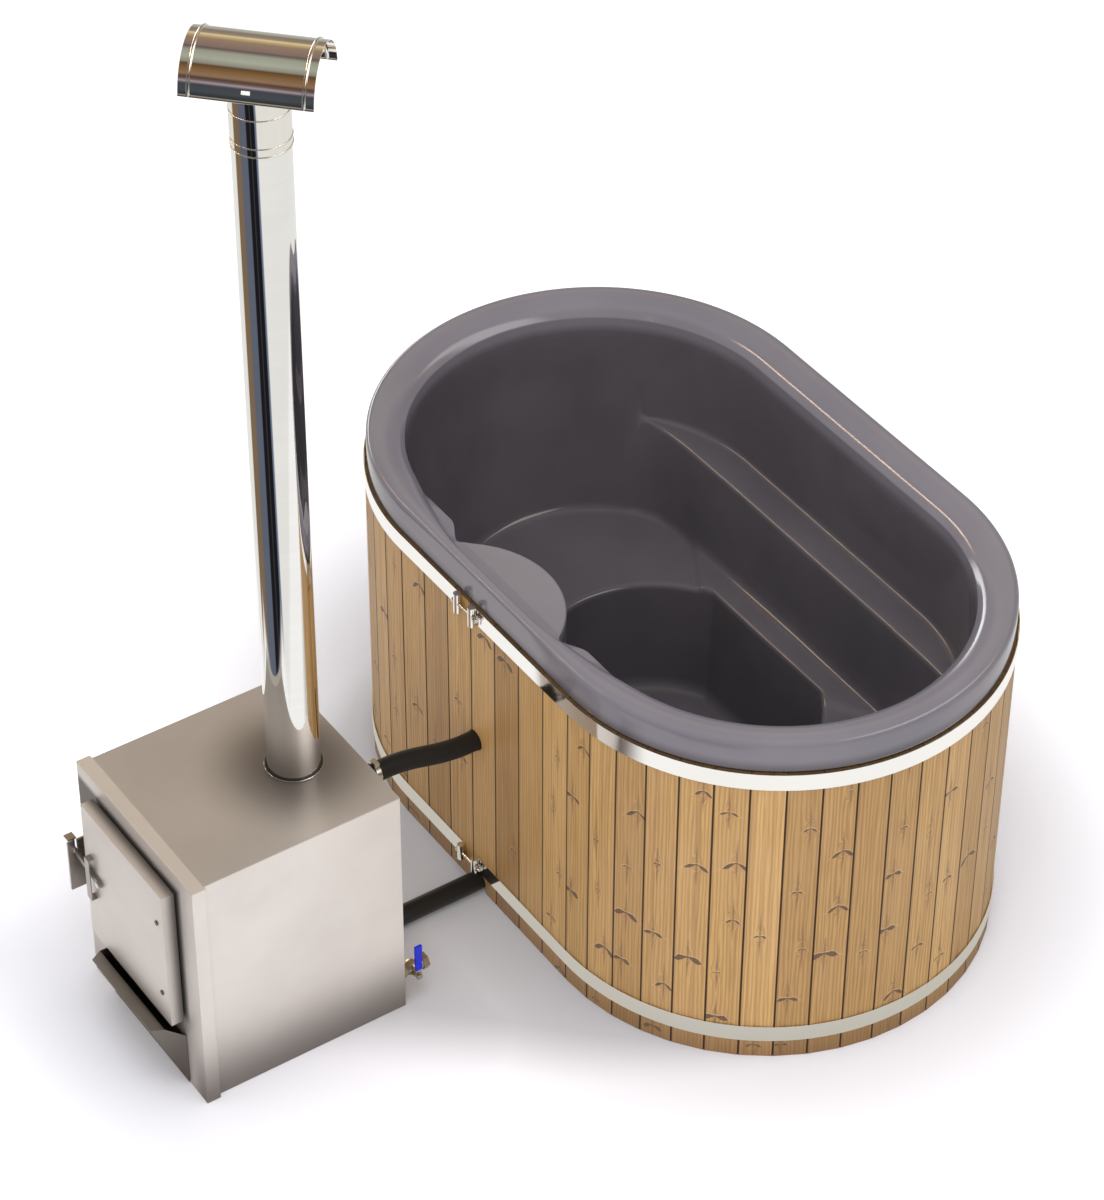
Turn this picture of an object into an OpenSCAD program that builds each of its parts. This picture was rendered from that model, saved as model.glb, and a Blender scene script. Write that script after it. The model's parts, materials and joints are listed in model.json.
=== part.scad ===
/* [Tub] */
// Length of the tub over its rim
tub_length = 1750; // [1500:10:2200]
// Width of the tub over its rim
tub_width = 1080; // [1000:10:1300]
// Height of the rim above the floor
tub_height = 945; // [920:5:1060]
// Wall of the moulded shell
shell_wall = 7; // [5:0.5:9]
// Width of the flat rim, from the bath opening to the outer edge
rim_width = 90; // [70:2:110]
// Radius of the rolled outer edge of the rim
rim_roll = 26; // [12:1:30]
// Height of the arm rests above the floor
arm_rest_z = 633; // [600:5:680]
// Width of the arm rests
arm_rest_w = 86; // [60:2:110]
// Height of the side seats above the floor
seat_z = 400; // [330:5:410]
// Depth by which the two end seats are dished below the side seats
seat_dish = 10; // [4:1:20]
// Half length of the straight sides of the footwell
footwell_straight = 92; // [60:2:140]
// Radius of the round ends of the footwell
footwell_r = 279; // [265:1:290]
// Half width of the footwell
footwell_half_w = 252; // [236:1:256]

/* [Staves] */
// Thickness of a stave
stave_t = 28; // [20:1:34]
// How far the staves' tops stand under the top of the rim
stave_drop = 84; // [66:1:90]
// Staves in each straight side
side_staves = 7; // [5:1:10]
// Staves round each end
end_staves = 22; // [14:1:24]
// Chamfer along the outer corners of a stave
stave_chamfer = 2; // [1:0.5:4]

/* [Hoops] */
// Width of a hoop band
hoop_w = 44; // [30:1:46]
// Thickness of a hoop band
hoop_t = 2; // [1:0.5:4]
// Height of the lower hoop's underside
hoop_low_z = 51; // [51:1:120]
// How far the upper hoop's underside stands under the staves' tops
hoop_drop = 44; // [44:1:160]
// Distance between the two tensioner barrels
barrel_pitch = 58; // [50:1:80]
// Diameter of a tensioner barrel
barrel_d = 18; // [15:1:22]
// Height of a tensioner barrel
barrel_h = 54; // [48:1:58]
// Diameter of the tensioner bolt
bolt_d = 8; // [6:1:9]

/* [Base] */
// Height of the joists
joist_h = 52; // [52:1:60]
// Width of a joist
joist_w = 70; // [50:1:74]
// Thickness of the bottom panel
panel_t = 18; // [12:1:24]

/* [Stove] */
// Free space between the staves and the back of the stove
stove_gap = 348; // [320:2:440]
// Place of the stove's centre line along the tub
stove_x = -40; // [-60:1:-20]
// Width of the casing
casing_w = 484; // [476:2:560]
// Depth of the casing behind the front frame
casing_d = 492; // [470:2:560]
// Height of the stove
casing_h = 646; // [636:2:700]
// Thickness of the casing sheet
casing_wall = 3; // [2:0.5:4]
// Depth of the front frame
frame_t = 34; // [24:1:46]
// How far the front frame stands proud of the casing on each side
frame_lip = 10; // [6:1:20]
// Thickness of the front frame's sheet
frame_plate = 4; // [3:0.5:6]
// Wall of the firebox
firebox_wall = 4; // [3:0.5:5]
// Water space round the firebox
jacket = 46; // [40:1:50]
// Height of the grate shelf above the floor
grate_z = 165; // [150:1:180]

/* [Fire door] */
// Width of the door
door_w = 355; // [345:1:365]
// Height of the door
door_h = 390; // [370:1:400]
// Height of the door's lower edge above the floor
door_z = 203; // [202:1:212]
// Depth of the door tray
door_t = 31; // [29:0.5:36]
// Thickness of the door sheet
door_sheet = 3; // [2:0.5:4]
// Width of the fire opening
mouth_w = 220; // [180:1:226]
// Height of the fire opening
mouth_h = 290; // [220:1:300]

/* [Latch] */
// Height of the latch pivot above the floor
latch_z = 406; // [380:1:430]
// Reach of the latch lever from its pivot
latch_reach = 122; // [120:1:140]
// Thickness of the latch lever
latch_t = 6; // [4:0.5:8]
// Depth of the latch lever bar
latch_bar = 14; // [10:1:16]

/* [Ash drawer] */
// Width of the drawer front
hopper_w = 355; // [350:1:380]
// How far the drawer front stands out at its lip
hopper_out = 80; // [66:1:110]
// Width of the ash tray
tray_w = 330; // [300:2:340]
// Depth of the ash tray from front to back
tray_d = 380; // [340:5:390]
// Height of the ash tray
tray_h = 112; // [80:2:120]
// Thickness of the drawer sheet
tray_sheet = 2; // [1.5:0.5:3]

/* [Chimney] */
// Outer diameter of the chimney pipe
pipe_d = 120; // [110:1:130]
// Wall of the chimney pipe
pipe_wall = 1.5; // [1:0.5:3]
// Height of the chimney pipe's top above the floor
pipe_top = 2410; // [1800:10:2800]
// Outer radius of the half-round rain cap
cap_r = 92; // [88:1:120]
// Length of the rain cap
cap_length = 266; // [220:2:340]
// Direction of the rain cap's axis
cap_turn = 44.3; // [0:0.1:90]

/* [Water hoses] */
// Outer diameter of the hoses
hose_d = 48; // [44:1:48]
// Wall of the hoses
hose_wall = 4; // [3:0.5:5]
// Height of the upper hose above the floor
flow_z = 460; // [455:1:500]
// Place of the upper hose along the tub
flow_x = -34; // [-44:1:20]
// Place of the upper outlet along the tub
outlet_x = -69; // [-110:1:-62]
// Place of the lower hose along the tub
return_x = -24; // [-50:1:20]

/* [Drain valve] */
// Distance of the valve's centre line from the stove's side
valve_inset = 32; // [30:1:60]
// Height of the drain valve above the floor
valve_z = 77; // [60:1:120]
// Length of the valve body
valve_len = 76; // [70:1:90]
// Length of the valve lever from its stem
valve_lever_len = 95; // [80:1:120]

/* [Hidden] */
$fn = 96;

// Fits: a seat that touches, a running fit, a loose fit, and the overrun of every cut
seat_gap = 0.3;
run_gap = 0.05;
loose_gap = 1;
cut = 1;

// Tub outline: two half circles joined by straight sides
rim_r = tub_width / 2;
half_straight = (tub_length - tub_width) / 2;
stave_proud = 5;
stave_gap = 0.3;
stave_top_gap = 5;
stave_h = tub_height - stave_drop;
hoop_high_z = stave_h - hoop_drop;
stave_r = rim_r + stave_proud;
end_step = 180 / end_staves;
end_face_r = stave_r * cos(end_step / 2);
bath_r = rim_r - rim_width;

// Levels and wall lines of the moulded shell
rim_apron = stave_drop - stave_top_gap;
wall_top = tub_height - shell_wall;
arm_lean = 14;
arm_r = bath_r - arm_lean;
back_lean = 74;
seat_r = arm_r - back_lean;
arm_half_w = arm_r - arm_rest_w;
arm_draft = 30;
seat_half_w = arm_half_w - arm_draft;
deck_z = seat_z - seat_dish;
panel_top = joist_h + panel_t;
floor_z = panel_top + shell_wall;
floor_draft = 15;
crease_run = 86;

// Moulded half column on the stove side
column_r = 232;
column_set = 60;
column_y = -(rim_r + column_set);
column_drop = 45;
column_top = tub_height - column_drop;

// Hoop tensioners
barrel_x = -57;
barrel_weld = 1;
hoop_in = stave_r + seat_gap;
barrel_y = -(hoop_in + hoop_t + barrel_d / 2 - barrel_weld);
barrel_low_h = hoop_w;
bolt_head_r = 7.8;
bolt_head_h = 6;

// Joists under the bottom panel
joist_outer_y = 400;
joist_end_gap = 20;
pipe_lane = 45;

// Water fittings
hose_bore = hose_d - 2 * hose_wall;
spigot_d = hose_bore - 2 * run_gap;
pipe_bore_wall = 3;
hose_hole_gap = 2;
hose_floor_gap = 1.5;
return_z = hose_d / 2 + hose_floor_gap;
return_y = -190;
joist_elbow_gap = 60;
joist_pitch = -return_y - joist_elbow_gap;
boss_r = 38;
boss_t = 22;
boss_face_y = -(seat_half_w + arm_draft * (flow_z - boss_r - seat_z) / (arm_rest_z - seat_z) - seat_gap);
fitting_flange_r = 32;
fitting_flange_t = 4;
fitting_len = 148;
nut_t = 12;
nut_r = 30;
elbow_r = 26;
elbow_wall = 2;
elbow_spigot = 75;
strainer_t = 3;
strainer_holes = 8;
strainer_hole_d = 6;
strainer_ring_r = 12;
hose_overlap = 40;
clamp_w = 12;
clamp_t = 1;
clamp_box = 9;
clamp_box_len = 22;

// Stove places
stove_back = -(stave_r + stove_gap);
casing_front = stove_back - casing_d;
frame_front = casing_front - frame_t;
fire_half_w = casing_w / 2 - jacket;
fire_back = stove_back - jacket;
fire_top = casing_h - jacket;
spigot_len = 113;
spigot_root = 12;
flue_set_x = 19;
flue_set_y = 133;
flue_x = stove_x + flue_set_x;
flue_y = stove_back - flue_set_y;
flue_up = 54;
flue_spigot_wall = 2;
flue_spigot_d = pipe_d - 2 * pipe_wall - 2 * run_gap;
collar_h = 5;
collar_w = 6;
grate_frame = 14;
grate_bars = 9;
grate_bar_share = 0.5;
grate_h = 12;
grate_w = 250;
grate_d = 320;
grate_rest = 12;
grate_y = (frame_front + frame_plate + fire_back) / 2;

// Upper hose: straight on its spigots, with a shallow double bend between stove and tub
hose_start = stove_back + spigot_len - 2 * hose_overlap;
hose_bend_from = stove_back + spigot_len + spigot_root;
hose_bend_to = -(stave_r + 2 * spigot_root);
hose_shift = flow_x - outlet_x;
hose_run = hose_bend_to - hose_bend_from;
hose_slant = 30;
hose_steps = 6;
hose_sides = 36;
hose_bend_a = 2 * atan(hose_shift / (hose_run + hose_slant));
hose_bend_r = (hose_run - hose_slant * cos(hose_bend_a)) / (2 * sin(hose_bend_a));
hose_end = boss_face_y - fitting_len + hose_overlap;
lower_hose_end = return_y - elbow_r - elbow_spigot - seat_gap;

// Rain cap and its bracket
cap_sheet = 1.5;
cap_bead_r = 4;
cap_bead_in = 20;
cap_roll_r = 3;
cap_trim = 7;
cap_over = 5;
cap_z = pipe_top + cap_over;
cap_start = asin(cap_trim / cap_r);
sleeve_drop = 134;
sleeve_h = 128;
sleeve_t = 1.5;
sleeve_bead_r = 1.5;
sleeve_bead_gap = 20;
sleeve_bead_high = 84;
leg_w = 20;
leg_t = 2;
leg_foot = 16;
leg_root = 30;

// Fire door: hinge line, mouth and lining
door_gap = 4.5;
door_x0 = stove_x - door_w / 2;
door_x1 = stove_x + door_w / 2;
door_back = frame_front - door_gap;
door_front = door_back - door_t;
mouth_z = door_z + (door_h - mouth_h) / 2;
hinge_inset = 10;
hinge_out = 15.5;
hinge_x = door_x1 - hinge_inset;
hinge_y = frame_front - hinge_out;
hinge_r = 6;
hinge_pin_d = 6;
hinge_arm_h = 20;
hinge_arm_t = 3;
hinge_knuckle_h = 12;
hinge_play = 0.5;
hinge_foot_in = 32;
hinge_foot_w = 18;
hinge_foot_t = 2.5;
hinge_up = 81;
hinge_apart = 214;
hinge_z_low = door_z + hinge_up;
hinge_z_high = hinge_z_low + hinge_apart;
leaf_t = 3;
leaf_w = 36;
leaf_lug = 6;
door_bolt_in = 30;
door_bolt_d = 6;
door_bolt_head = 12;
door_bolt_head_t = 3;
gasket_w = 10;
gasket_in = 2;
liner_over = 14;
liner_back = 0.5;

// Latch: lever, pivot, guide and catch
latch_in = 67.5;
latch_x = door_x0 + latch_in;
latch_eye_d = 20;
latch_rise = 10.7;
latch_washer = 2;
latch_back = door_front - latch_washer;
latch_front = latch_back - latch_t;
latch_pin_d = 8;
latch_head_d = 15;
latch_head_t = 4;
latch_tip_w = 12;
latch_tip_up = 62;
latch_tab = 21;
latch_tab_t = 4;
catch_t = 6;
catch_x = latch_x - latch_reach + latch_tip_w + 2 * loose_gap + catch_t / 2;
catch_up = 51;
catch_down = 91;
catch_top = latch_z + catch_up;
catch_bottom = latch_z - catch_down;
catch_beyond = 14;
catch_side = 2;
catch_slot_up = 11.1;
catch_slot_z = latch_z + catch_slot_up;
guide_in = 35;
guide_x = latch_x - guide_in;
guide_w = 20;
guide_t = 3;
guide_down = 68;
guide_up = 54;
guide_low = latch_z - guide_down;
guide_high = latch_z + guide_up;
guide_play = 3.5;

// Ash drawer: tray and hopper-shaped front
tray_z = casing_wall + firebox_wall + seat_gap;
tray_play = 3;
hopper_gap = 1.5;
hopper_z0 = 5;
hopper_z1 = 152;
hopper_lip_z = 199;
hopper_lip_w = 32;
hopper_lip_drop = 9;

// Frame rivets above the door
rivet_r = 4;
rivet_t = 2;
rivet_up = 9;
rivet_left = 50;
rivet_right = 88;

// Drain valve
valve_x = stove_x + casing_w / 2 - valve_inset;
valve_r = 15;
valve_hex_r = 20;
valve_hex_w = 14;
valve_ball_r = 19;
valve_bore_r = 10;
valve_stem_out = 35;
valve_stem_y = stove_back + valve_stem_out;
valve_stem_r = 5;
valve_neck_r = 9;
valve_neck_len = 27;
valve_stem_x = valve_x + valve_neck_len;
valve_lever_off = 6;
valve_lever_x = valve_stem_x + valve_lever_off;
valve_lever_w = 14;
valve_lever_t = 2.5;
valve_nut_r = 8;
valve_nut_t = 5;
sleeve_start = 20;
sleeve_wrap = 2;

// A stadium-shaped block whose walls lean from one radius to another
module stadium_block(r_low, r_high, z_low, z_high, half) {
  for (side = [-1, 1])
    translate([side * half, 0, 0]) rotate(-side * 90) rotate_extrude(angle = 180)
      polygon([[0, z_low], [r_low, z_low], [r_high, z_high], [0, z_high]]);
  lengthwise(2 * half) polygon([[-r_low, z_low], [r_low, z_low], [r_high, z_high], [-r_high, z_high]]);
}

// A flat outline in width and height, run along the tub
module lengthwise(run) {
  translate([-run / 2, 0, 0]) rotate([90, 0, 90]) linear_extrude(run) children();
}

// A wall section swept round the whole stadium
module stadium_sweep(half) {
  for (side = [-1, 1])
    translate([side * half, 0, 0]) rotate(-side * 90) rotate_extrude(angle = 180) children();
  lengthwise(2 * half) children();
  mirror([0, 1, 0]) lengthwise(2 * half) children();
}

// A hexagonal prism on the Z axis
module hex_prism(r, h) {
  cylinder(r = r, h = h, $fn = 6);
}

// A rod and a tube lying along Y or X
module rod_y(r, y_from, y_to) {
  translate([0, y_from, 0]) rotate([-90, 0, 0]) cylinder(r = r, h = y_to - y_from);
}
module rod_x(r, x_from, x_to) {
  translate([x_from, 0, 0]) rotate([0, 90, 0]) cylinder(r = r, h = x_to - x_from);
}
module tube_y(r_out, r_in, y_from, y_to) {
  difference() {
    rod_y(r_out, y_from, y_to);
    rod_y(r_in, y_from - cut, y_to + cut);
  }
}

// A box between two corners
module block(low, high) {
  translate(low) cube(high - low);
}

// Footwell block: round ends cut off by straight sides, drawn in towards the floor
module footwell_block(wall, z_low, z_high) {
  foot_low = footwell_half_w - floor_draft + wall;
  foot_high = footwell_half_w + wall;
  intersection() {
    stadium_block(footwell_r - floor_draft + wall, footwell_r + wall, z_low, z_high, footwell_straight);
    lengthwise(2 * tub_length)
      polygon([[-foot_low, z_low], [foot_low, z_low], [foot_high, z_high], [-foot_high, z_high]]);
  }
}

// Seat space: leaning backs at the ends and drafted sides under the arm rests
module seat_block(wall, z_low) {
  intersection() {
    stadium_block(seat_r + wall, arm_r + wall, z_low, arm_rest_z, half_straight);
    lengthwise(2 * tub_length)
      polygon([[-(seat_half_w + wall), z_low], [seat_half_w + wall, z_low],
        [arm_half_w + wall, arm_rest_z], [-(arm_half_w + wall), arm_rest_z]]);
  }
}

// Side seats that stay above the dished end seats, with slanting creases
module side_ledges() {
  crease_x = footwell_straight + sqrt(footwell_r * footwell_r - footwell_half_w * footwell_half_w);
  crease_share = crease_run / (arm_half_w - footwell_half_w);
  ledge_out = arm_half_w + shell_wall;
  ledge_x = crease_x + crease_share * (ledge_out - footwell_half_w);
  for (side = [0, 1])
    mirror([0, side, 0]) translate([0, 0, deck_z - cut]) linear_extrude(seat_dish + cut)
      polygon([[-crease_x, footwell_half_w], [crease_x, footwell_half_w], [ledge_x, ledge_out],
        [-ledge_x, ledge_out]]);
}

// Rolled rim: flat top, round outer edge and apron
module rim_section() {
  roll_x = rim_r - rim_roll;
  roll_z = tub_height - rim_roll;
  translate([bath_r + shell_wall, wall_top]) circle(shell_wall);
  translate([bath_r + shell_wall, wall_top]) square([roll_x - bath_r - shell_wall, shell_wall]);
  intersection() {
    difference() {
      translate([roll_x, roll_z]) circle(rim_roll);
      translate([roll_x, roll_z]) circle(rim_roll - shell_wall);
    }
    translate([roll_x, roll_z]) square(rim_roll);
  }
  translate([rim_r - shell_wall, tub_height - rim_apron])
    square([shell_wall, rim_apron - rim_roll]);
}

module tub_shell() {
  color("dimgray") difference() {
    union() {
      difference() {
        union() {
          stadium_block(arm_r + shell_wall, bath_r + shell_wall, arm_rest_z - shell_wall, wall_top,
            half_straight);
          seat_block(shell_wall, deck_z - shell_wall);
          footwell_block(shell_wall, panel_top, deck_z);
        }
        difference() {
          stadium_block(arm_r, bath_r, arm_rest_z, wall_top, half_straight);
          translate([0, column_y, 0]) cylinder(r = column_r, h = column_top);
        }
        difference() {
          seat_block(0, deck_z);
          side_ledges();
        }
        footwell_block(0, floor_z, deck_z);
        translate([0, column_y, arm_rest_z - shell_wall - cut])
          cylinder(r = column_r - shell_wall, h = column_top - arm_rest_z + cut);
      }
      stadium_sweep(half_straight) rim_section();
      translate([flow_x, 0, flow_z]) rod_y(boss_r, boss_face_y - boss_t, boss_face_y);
    }
    translate([flow_x, 0, flow_z])
      rod_y(spigot_d / 2 + seat_gap, boss_face_y - 2 * boss_t, boss_face_y + cut);
    translate([return_x, return_y, panel_top - cut])
      cylinder(r = spigot_d / 2 + elbow_wall + seat_gap, h = shell_wall + 2 * cut);
  }
}

// One stave stands with its outer face at the given distance; its sides close in by the lean
module stave(face_r, width, lean) {
  half = (width - stave_gap) / 2;
  linear_extrude(stave_h)
    polygon([[-half + stave_chamfer, face_r], [half - stave_chamfer, face_r],
      [half - lean * stave_chamfer, face_r - stave_chamfer], [half - lean * stave_t, face_r - stave_t],
      [-half + lean * stave_t, face_r - stave_t], [-half + lean * stave_chamfer, face_r - stave_chamfer]]);
}
module side_stave_row() {
  pitch = 2 * half_straight / side_staves;
  for (i = [0 : side_staves - 1])
    translate([-half_straight + (i + 0.5) * pitch, 0, 0]) stave(stave_r, pitch, 0);
}
module end_stave_row() {
  for (i = [0 : end_staves - 1])
    translate([half_straight, 0, 0]) rotate(-180 + (i + 0.5) * end_step)
      stave(end_face_r, 2 * stave_r * sin(end_step / 2), tan(end_step / 2));
}
module staves_stove_side() {
  color("peru") difference() {
    mirror([0, 1, 0]) side_stave_row();
    translate([flow_x, 0, flow_z]) rod_y(hose_d / 2 + hose_hole_gap, -stave_r - cut, 0);
    translate([return_x, 0, return_z]) rod_y(hose_d / 2 + hose_hole_gap, -stave_r - cut, 0);
    block([return_x - hose_d / 2 - hose_hole_gap, -stave_r - cut, -cut],
      [return_x + hose_d / 2 + hose_hole_gap, 0, return_z]);
  }
}
module staves_far_side() {
  color("peru") side_stave_row();
}
module staves_head_end() {
  color("peru") mirror([1, 0, 0]) end_stave_row();
}
module staves_foot_end() {
  color("peru") end_stave_row();
}

// Hoop: a band round the staves, open between two welded barrels that the bolt draws together
module hoop(z, h) {
  mid_z = z + hoop_w / 2;
  difference() {
    union() {
      difference() {
        stadium_sweep(half_straight) translate([hoop_in, z]) square([hoop_t, hoop_w]);
        block([barrel_x - barrel_pitch / 2, -2 * stave_r, z - cut],
          [barrel_x + barrel_pitch / 2, 0, z + hoop_w + cut]);
      }
      for (side = [-1, 1])
        translate([barrel_x + side * barrel_pitch / 2, barrel_y, mid_z - h / 2])
          cylinder(d = barrel_d, h = h);
    }
    translate([barrel_x, barrel_y, mid_z]) rod_x(bolt_d / 2 + seat_gap, -barrel_pitch, barrel_pitch);
  }
}
module hoop_upper() {
  color("lightgray") hoop(hoop_high_z, barrel_h);
}
module hoop_lower() {
  color("lightgray") hoop(hoop_low_z, barrel_low_h);
}

// Tensioner bolt with its head against one barrel and its nut against the other
module hoop_bolt(z) {
  reach = barrel_pitch / 2 + barrel_d / 2 + seat_gap;
  translate([barrel_x, barrel_y, z + hoop_w / 2]) {
    rod_x(bolt_d / 2, -reach, reach + 2 * bolt_head_h);
    translate([-reach - bolt_head_h, 0, 0]) rotate([0, 90, 0]) hex_prism(bolt_head_r, bolt_head_h);
    translate([reach, 0, 0]) rotate([0, 90, 0]) difference() {
      hex_prism(bolt_head_r, bolt_head_h);
      translate([0, 0, -cut]) cylinder(r = bolt_d / 2 + run_gap, h = bolt_head_h + 2 * cut);
    }
  }
}
module hoop_upper_bolt() {
  color("silver") hoop_bolt(hoop_high_z);
}
module hoop_lower_bolt() {
  color("silver") hoop_bolt(hoop_low_z);
}

// Joists lie along the tub and end short of the staves; one is parted for the water pipe
function joist_reach(y) = half_straight
  + sqrt(pow(end_face_r - stave_t, 2) - pow(abs(y) + joist_w / 2, 2)) - joist_end_gap;
module joist(y, x_from, x_to) {
  block([x_from, y - joist_w / 2, 0], [x_to, y + joist_w / 2, joist_h]);
}
module base_joists() {
  color("olivedrab") {
    for (y = [-joist_pitch, 0, joist_pitch, joist_outer_y])
      joist(y, -joist_reach(y), joist_reach(y));
    joist(-joist_outer_y, -joist_reach(joist_outer_y), return_x - pipe_lane);
    joist(-joist_outer_y, return_x + pipe_lane, joist_reach(joist_outer_y));
  }
}
module base_panel() {
  panel_r = end_face_r - stave_t - 2 * seat_gap;
  color("burlywood") difference() {
    stadium_block(panel_r, panel_r, joist_h, panel_top, half_straight);
    translate([return_x, return_y, joist_h - cut])
      cylinder(r = spigot_d / 2 + elbow_wall + seat_gap, h = panel_t + 2 * cut);
  }
}

// Upper fitting: flanged pipe through the shell wall, with a back nut
module flow_fitting() {
  color("silver") translate([flow_x, 0, flow_z]) difference() {
    union() {
      rod_y(spigot_d / 2, boss_face_y - fitting_len, boss_face_y + fitting_flange_t);
      rod_y(fitting_flange_r, boss_face_y, boss_face_y + fitting_flange_t);
    }
    rod_y(spigot_d / 2 - pipe_bore_wall, boss_face_y - fitting_len - cut,
      boss_face_y + fitting_flange_t + cut);
  }
}
module flow_fitting_nut() {
  nut_face = boss_face_y - boss_t;
  color("silver") translate([flow_x, nut_face, flow_z]) rotate([90, 0, 0]) difference() {
    hex_prism(nut_r, nut_t);
    translate([0, 0, -cut]) cylinder(r = spigot_d / 2 + run_gap, h = nut_t + 2 * cut);
  }
}

// Lower fitting: an elbow under the footwell that ends in a flanged floor outlet
module elbow_path(r) {
  bend_y = return_y - elbow_r;
  translate([return_x, 0, return_z]) rod_y(r, bend_y - elbow_spigot, bend_y);
  translate([return_x, bend_y, return_z + elbow_r]) rotate([0, 90, 0])
    rotate_extrude(angle = 90) translate([elbow_r, 0]) circle(r);
  translate([return_x, return_y, return_z + elbow_r])
    cylinder(r = r, h = floor_z - return_z - elbow_r);
}
module return_elbow() {
  body_r = spigot_d / 2 + elbow_wall;
  spigot_in = return_y - elbow_r - elbow_spigot;
  color("silver") difference() {
    union() {
      elbow_path(body_r);
      translate([return_x, 0, return_z]) rod_y(spigot_d / 2, spigot_in - hose_overlap, spigot_in);
      translate([return_x, return_y, floor_z])
        cylinder(r = fitting_flange_r, h = fitting_flange_t);
    }
    elbow_path(spigot_d / 2 - pipe_bore_wall);
    translate([return_x, 0, return_z])
      rod_y(spigot_d / 2 - pipe_bore_wall, spigot_in - hose_overlap - cut, spigot_in + cut);
    translate([return_x, return_y, floor_z - cut])
      cylinder(r = spigot_d / 2 - pipe_bore_wall, h = fitting_flange_t + 2 * cut);
  }
}
module return_strainer() {
  color("silver") translate([return_x, return_y, floor_z + fitting_flange_t]) difference() {
    cylinder(r = fitting_flange_r, h = strainer_t);
    for (i = [0 : strainer_holes - 1])
      rotate(i * 360 / strainer_holes) translate([strainer_ring_r, 0, -cut])
        cylinder(d = strainer_hole_d, h = strainer_t + 2 * cut);
    translate([0, 0, -cut]) cylinder(d = strainer_hole_d, h = strainer_t + 2 * cut);
  }
}

// Upper hose: one tube swept along its centre line, which runs straight off each spigot and
// crosses over in two equal bends; each stop holds its place and its heading
hose_route = concat([[outlet_x, hose_start, 0]],
  [for (i = [0 : hose_steps]) let(a = hose_bend_a * i / hose_steps)
    [outlet_x + hose_bend_r * (1 - cos(a)), hose_bend_from + hose_bend_r * sin(a), a]],
  [for (i = [hose_steps : -1 : 0]) let(a = hose_bend_a * i / hose_steps)
    [flow_x - hose_bend_r * (1 - cos(a)), hose_bend_to - hose_bend_r * sin(a), a]],
  [[flow_x, hose_end, 0]]);
function hose_ring(stop, r) = [for (k = [0 : hose_sides - 1]) let(t = 360 * k / hose_sides)
  [stop[0] + r * cos(t) * cos(stop[2]), stop[1] - r * cos(t) * sin(stop[2]), flow_z + r * sin(t)]];
module hose_upper() {
  stops = len(hose_route);
  rows = 2 * stops;
  rings = concat([for (stop = hose_route) hose_ring(stop, hose_d / 2)],
    [for (i = [stops - 1 : -1 : 0]) hose_ring(hose_route[i], hose_bore / 2 / cos(180 / hose_sides))]);
  color("black") polyhedron([for (ring = rings) for (p = ring) p],
    [for (i = [0 : rows - 1]) for (k = [0 : hose_sides - 1])
      let(k1 = (k + 1) % hose_sides, a = i * hose_sides, b = (i + 1) % rows * hose_sides)
        for (face = [[a + k, a + k1, b + k], [a + k1, b + k1, b + k]]) face]);
}
module hose_lower() {
  color("black") translate([return_x, 0, return_z])
    tube_y(hose_d / 2, hose_bore / 2, hose_start, lower_hose_end);
}

// Worm-drive clamps: a band and a screw housing over each spigot
module hose_clamp(x, y, z, turn) {
  r_in = hose_d / 2 + seat_gap;
  translate([x, y, z]) rotate([0, turn, 0]) difference() {
    union() {
      rod_y(r_in + clamp_t, -clamp_w / 2, clamp_w / 2);
      translate([-clamp_box_len / 2, -clamp_w / 2, r_in]) cube([clamp_box_len, clamp_w, clamp_box]);
    }
    rod_y(r_in, -clamp_w, clamp_w);
  }
}
module hose_clamps() {
  clamp_y = stove_back + spigot_len - spigot_root;
  color("dimgray") {
    hose_clamp(outlet_x, clamp_y, flow_z, 0);
    hose_clamp(flow_x, hose_end - hose_overlap / 2, flow_z, 0);
    hose_clamp(return_x, clamp_y, return_z, 0);
    hose_clamp(return_x, lower_hose_end - hose_overlap / 2, return_z, 90);
  }
}

// Stove casing: the outer water jacket, open at the front where the frame closes it
module stove_casing() {
  x0 = stove_x - casing_w / 2;
  x1 = stove_x + casing_w / 2;
  color("lightgray") difference() {
    block([x0, casing_front, 0], [x1, stove_back, casing_h]);
    block([x0 + casing_wall, casing_front - cut, casing_wall],
      [x1 - casing_wall, stove_back - casing_wall, casing_h - casing_wall]);
    translate([flue_x, flue_y, fire_top]) cylinder(d = flue_spigot_d + 2 * seat_gap, h = casing_h);
    translate([outlet_x, 0, flow_z]) rod_y(spigot_d / 2 + run_gap, fire_back, 0);
    translate([return_x, 0, return_z]) rod_y(spigot_d / 2 + run_gap, fire_back, 0);
    translate([valve_x, 0, valve_z]) rod_y(valve_r + run_gap, fire_back, 0);
  }
}

// Front frame: a shallow steel box round the fire opening and the drawer opening
module stove_front_frame() {
  x0 = stove_x - casing_w / 2 - frame_lip;
  x1 = stove_x + casing_w / 2 + frame_lip;
  color("lightgray") difference() {
    block([x0, frame_front, 0], [x1, casing_front, casing_h]);
    block([x0 + frame_plate, frame_front + frame_plate, frame_plate],
      [x1 - frame_plate, casing_front - frame_plate, casing_h - frame_plate]);
    block([stove_x - fire_half_w - seat_gap, frame_front + frame_plate, casing_wall - seat_gap],
      [stove_x + fire_half_w + seat_gap, casing_front + cut, fire_top + seat_gap]);
    block([stove_x - mouth_w / 2, frame_front - cut, mouth_z],
      [stove_x + mouth_w / 2, frame_front + frame_plate + cut, mouth_z + mouth_h]);
    block([stove_x - tray_w / 2 - tray_play, frame_front - cut, tray_z - loose_gap],
      [stove_x + tray_w / 2 + tray_play, frame_front + frame_plate + cut, tray_z + tray_h + tray_play]);
  }
}

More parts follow.
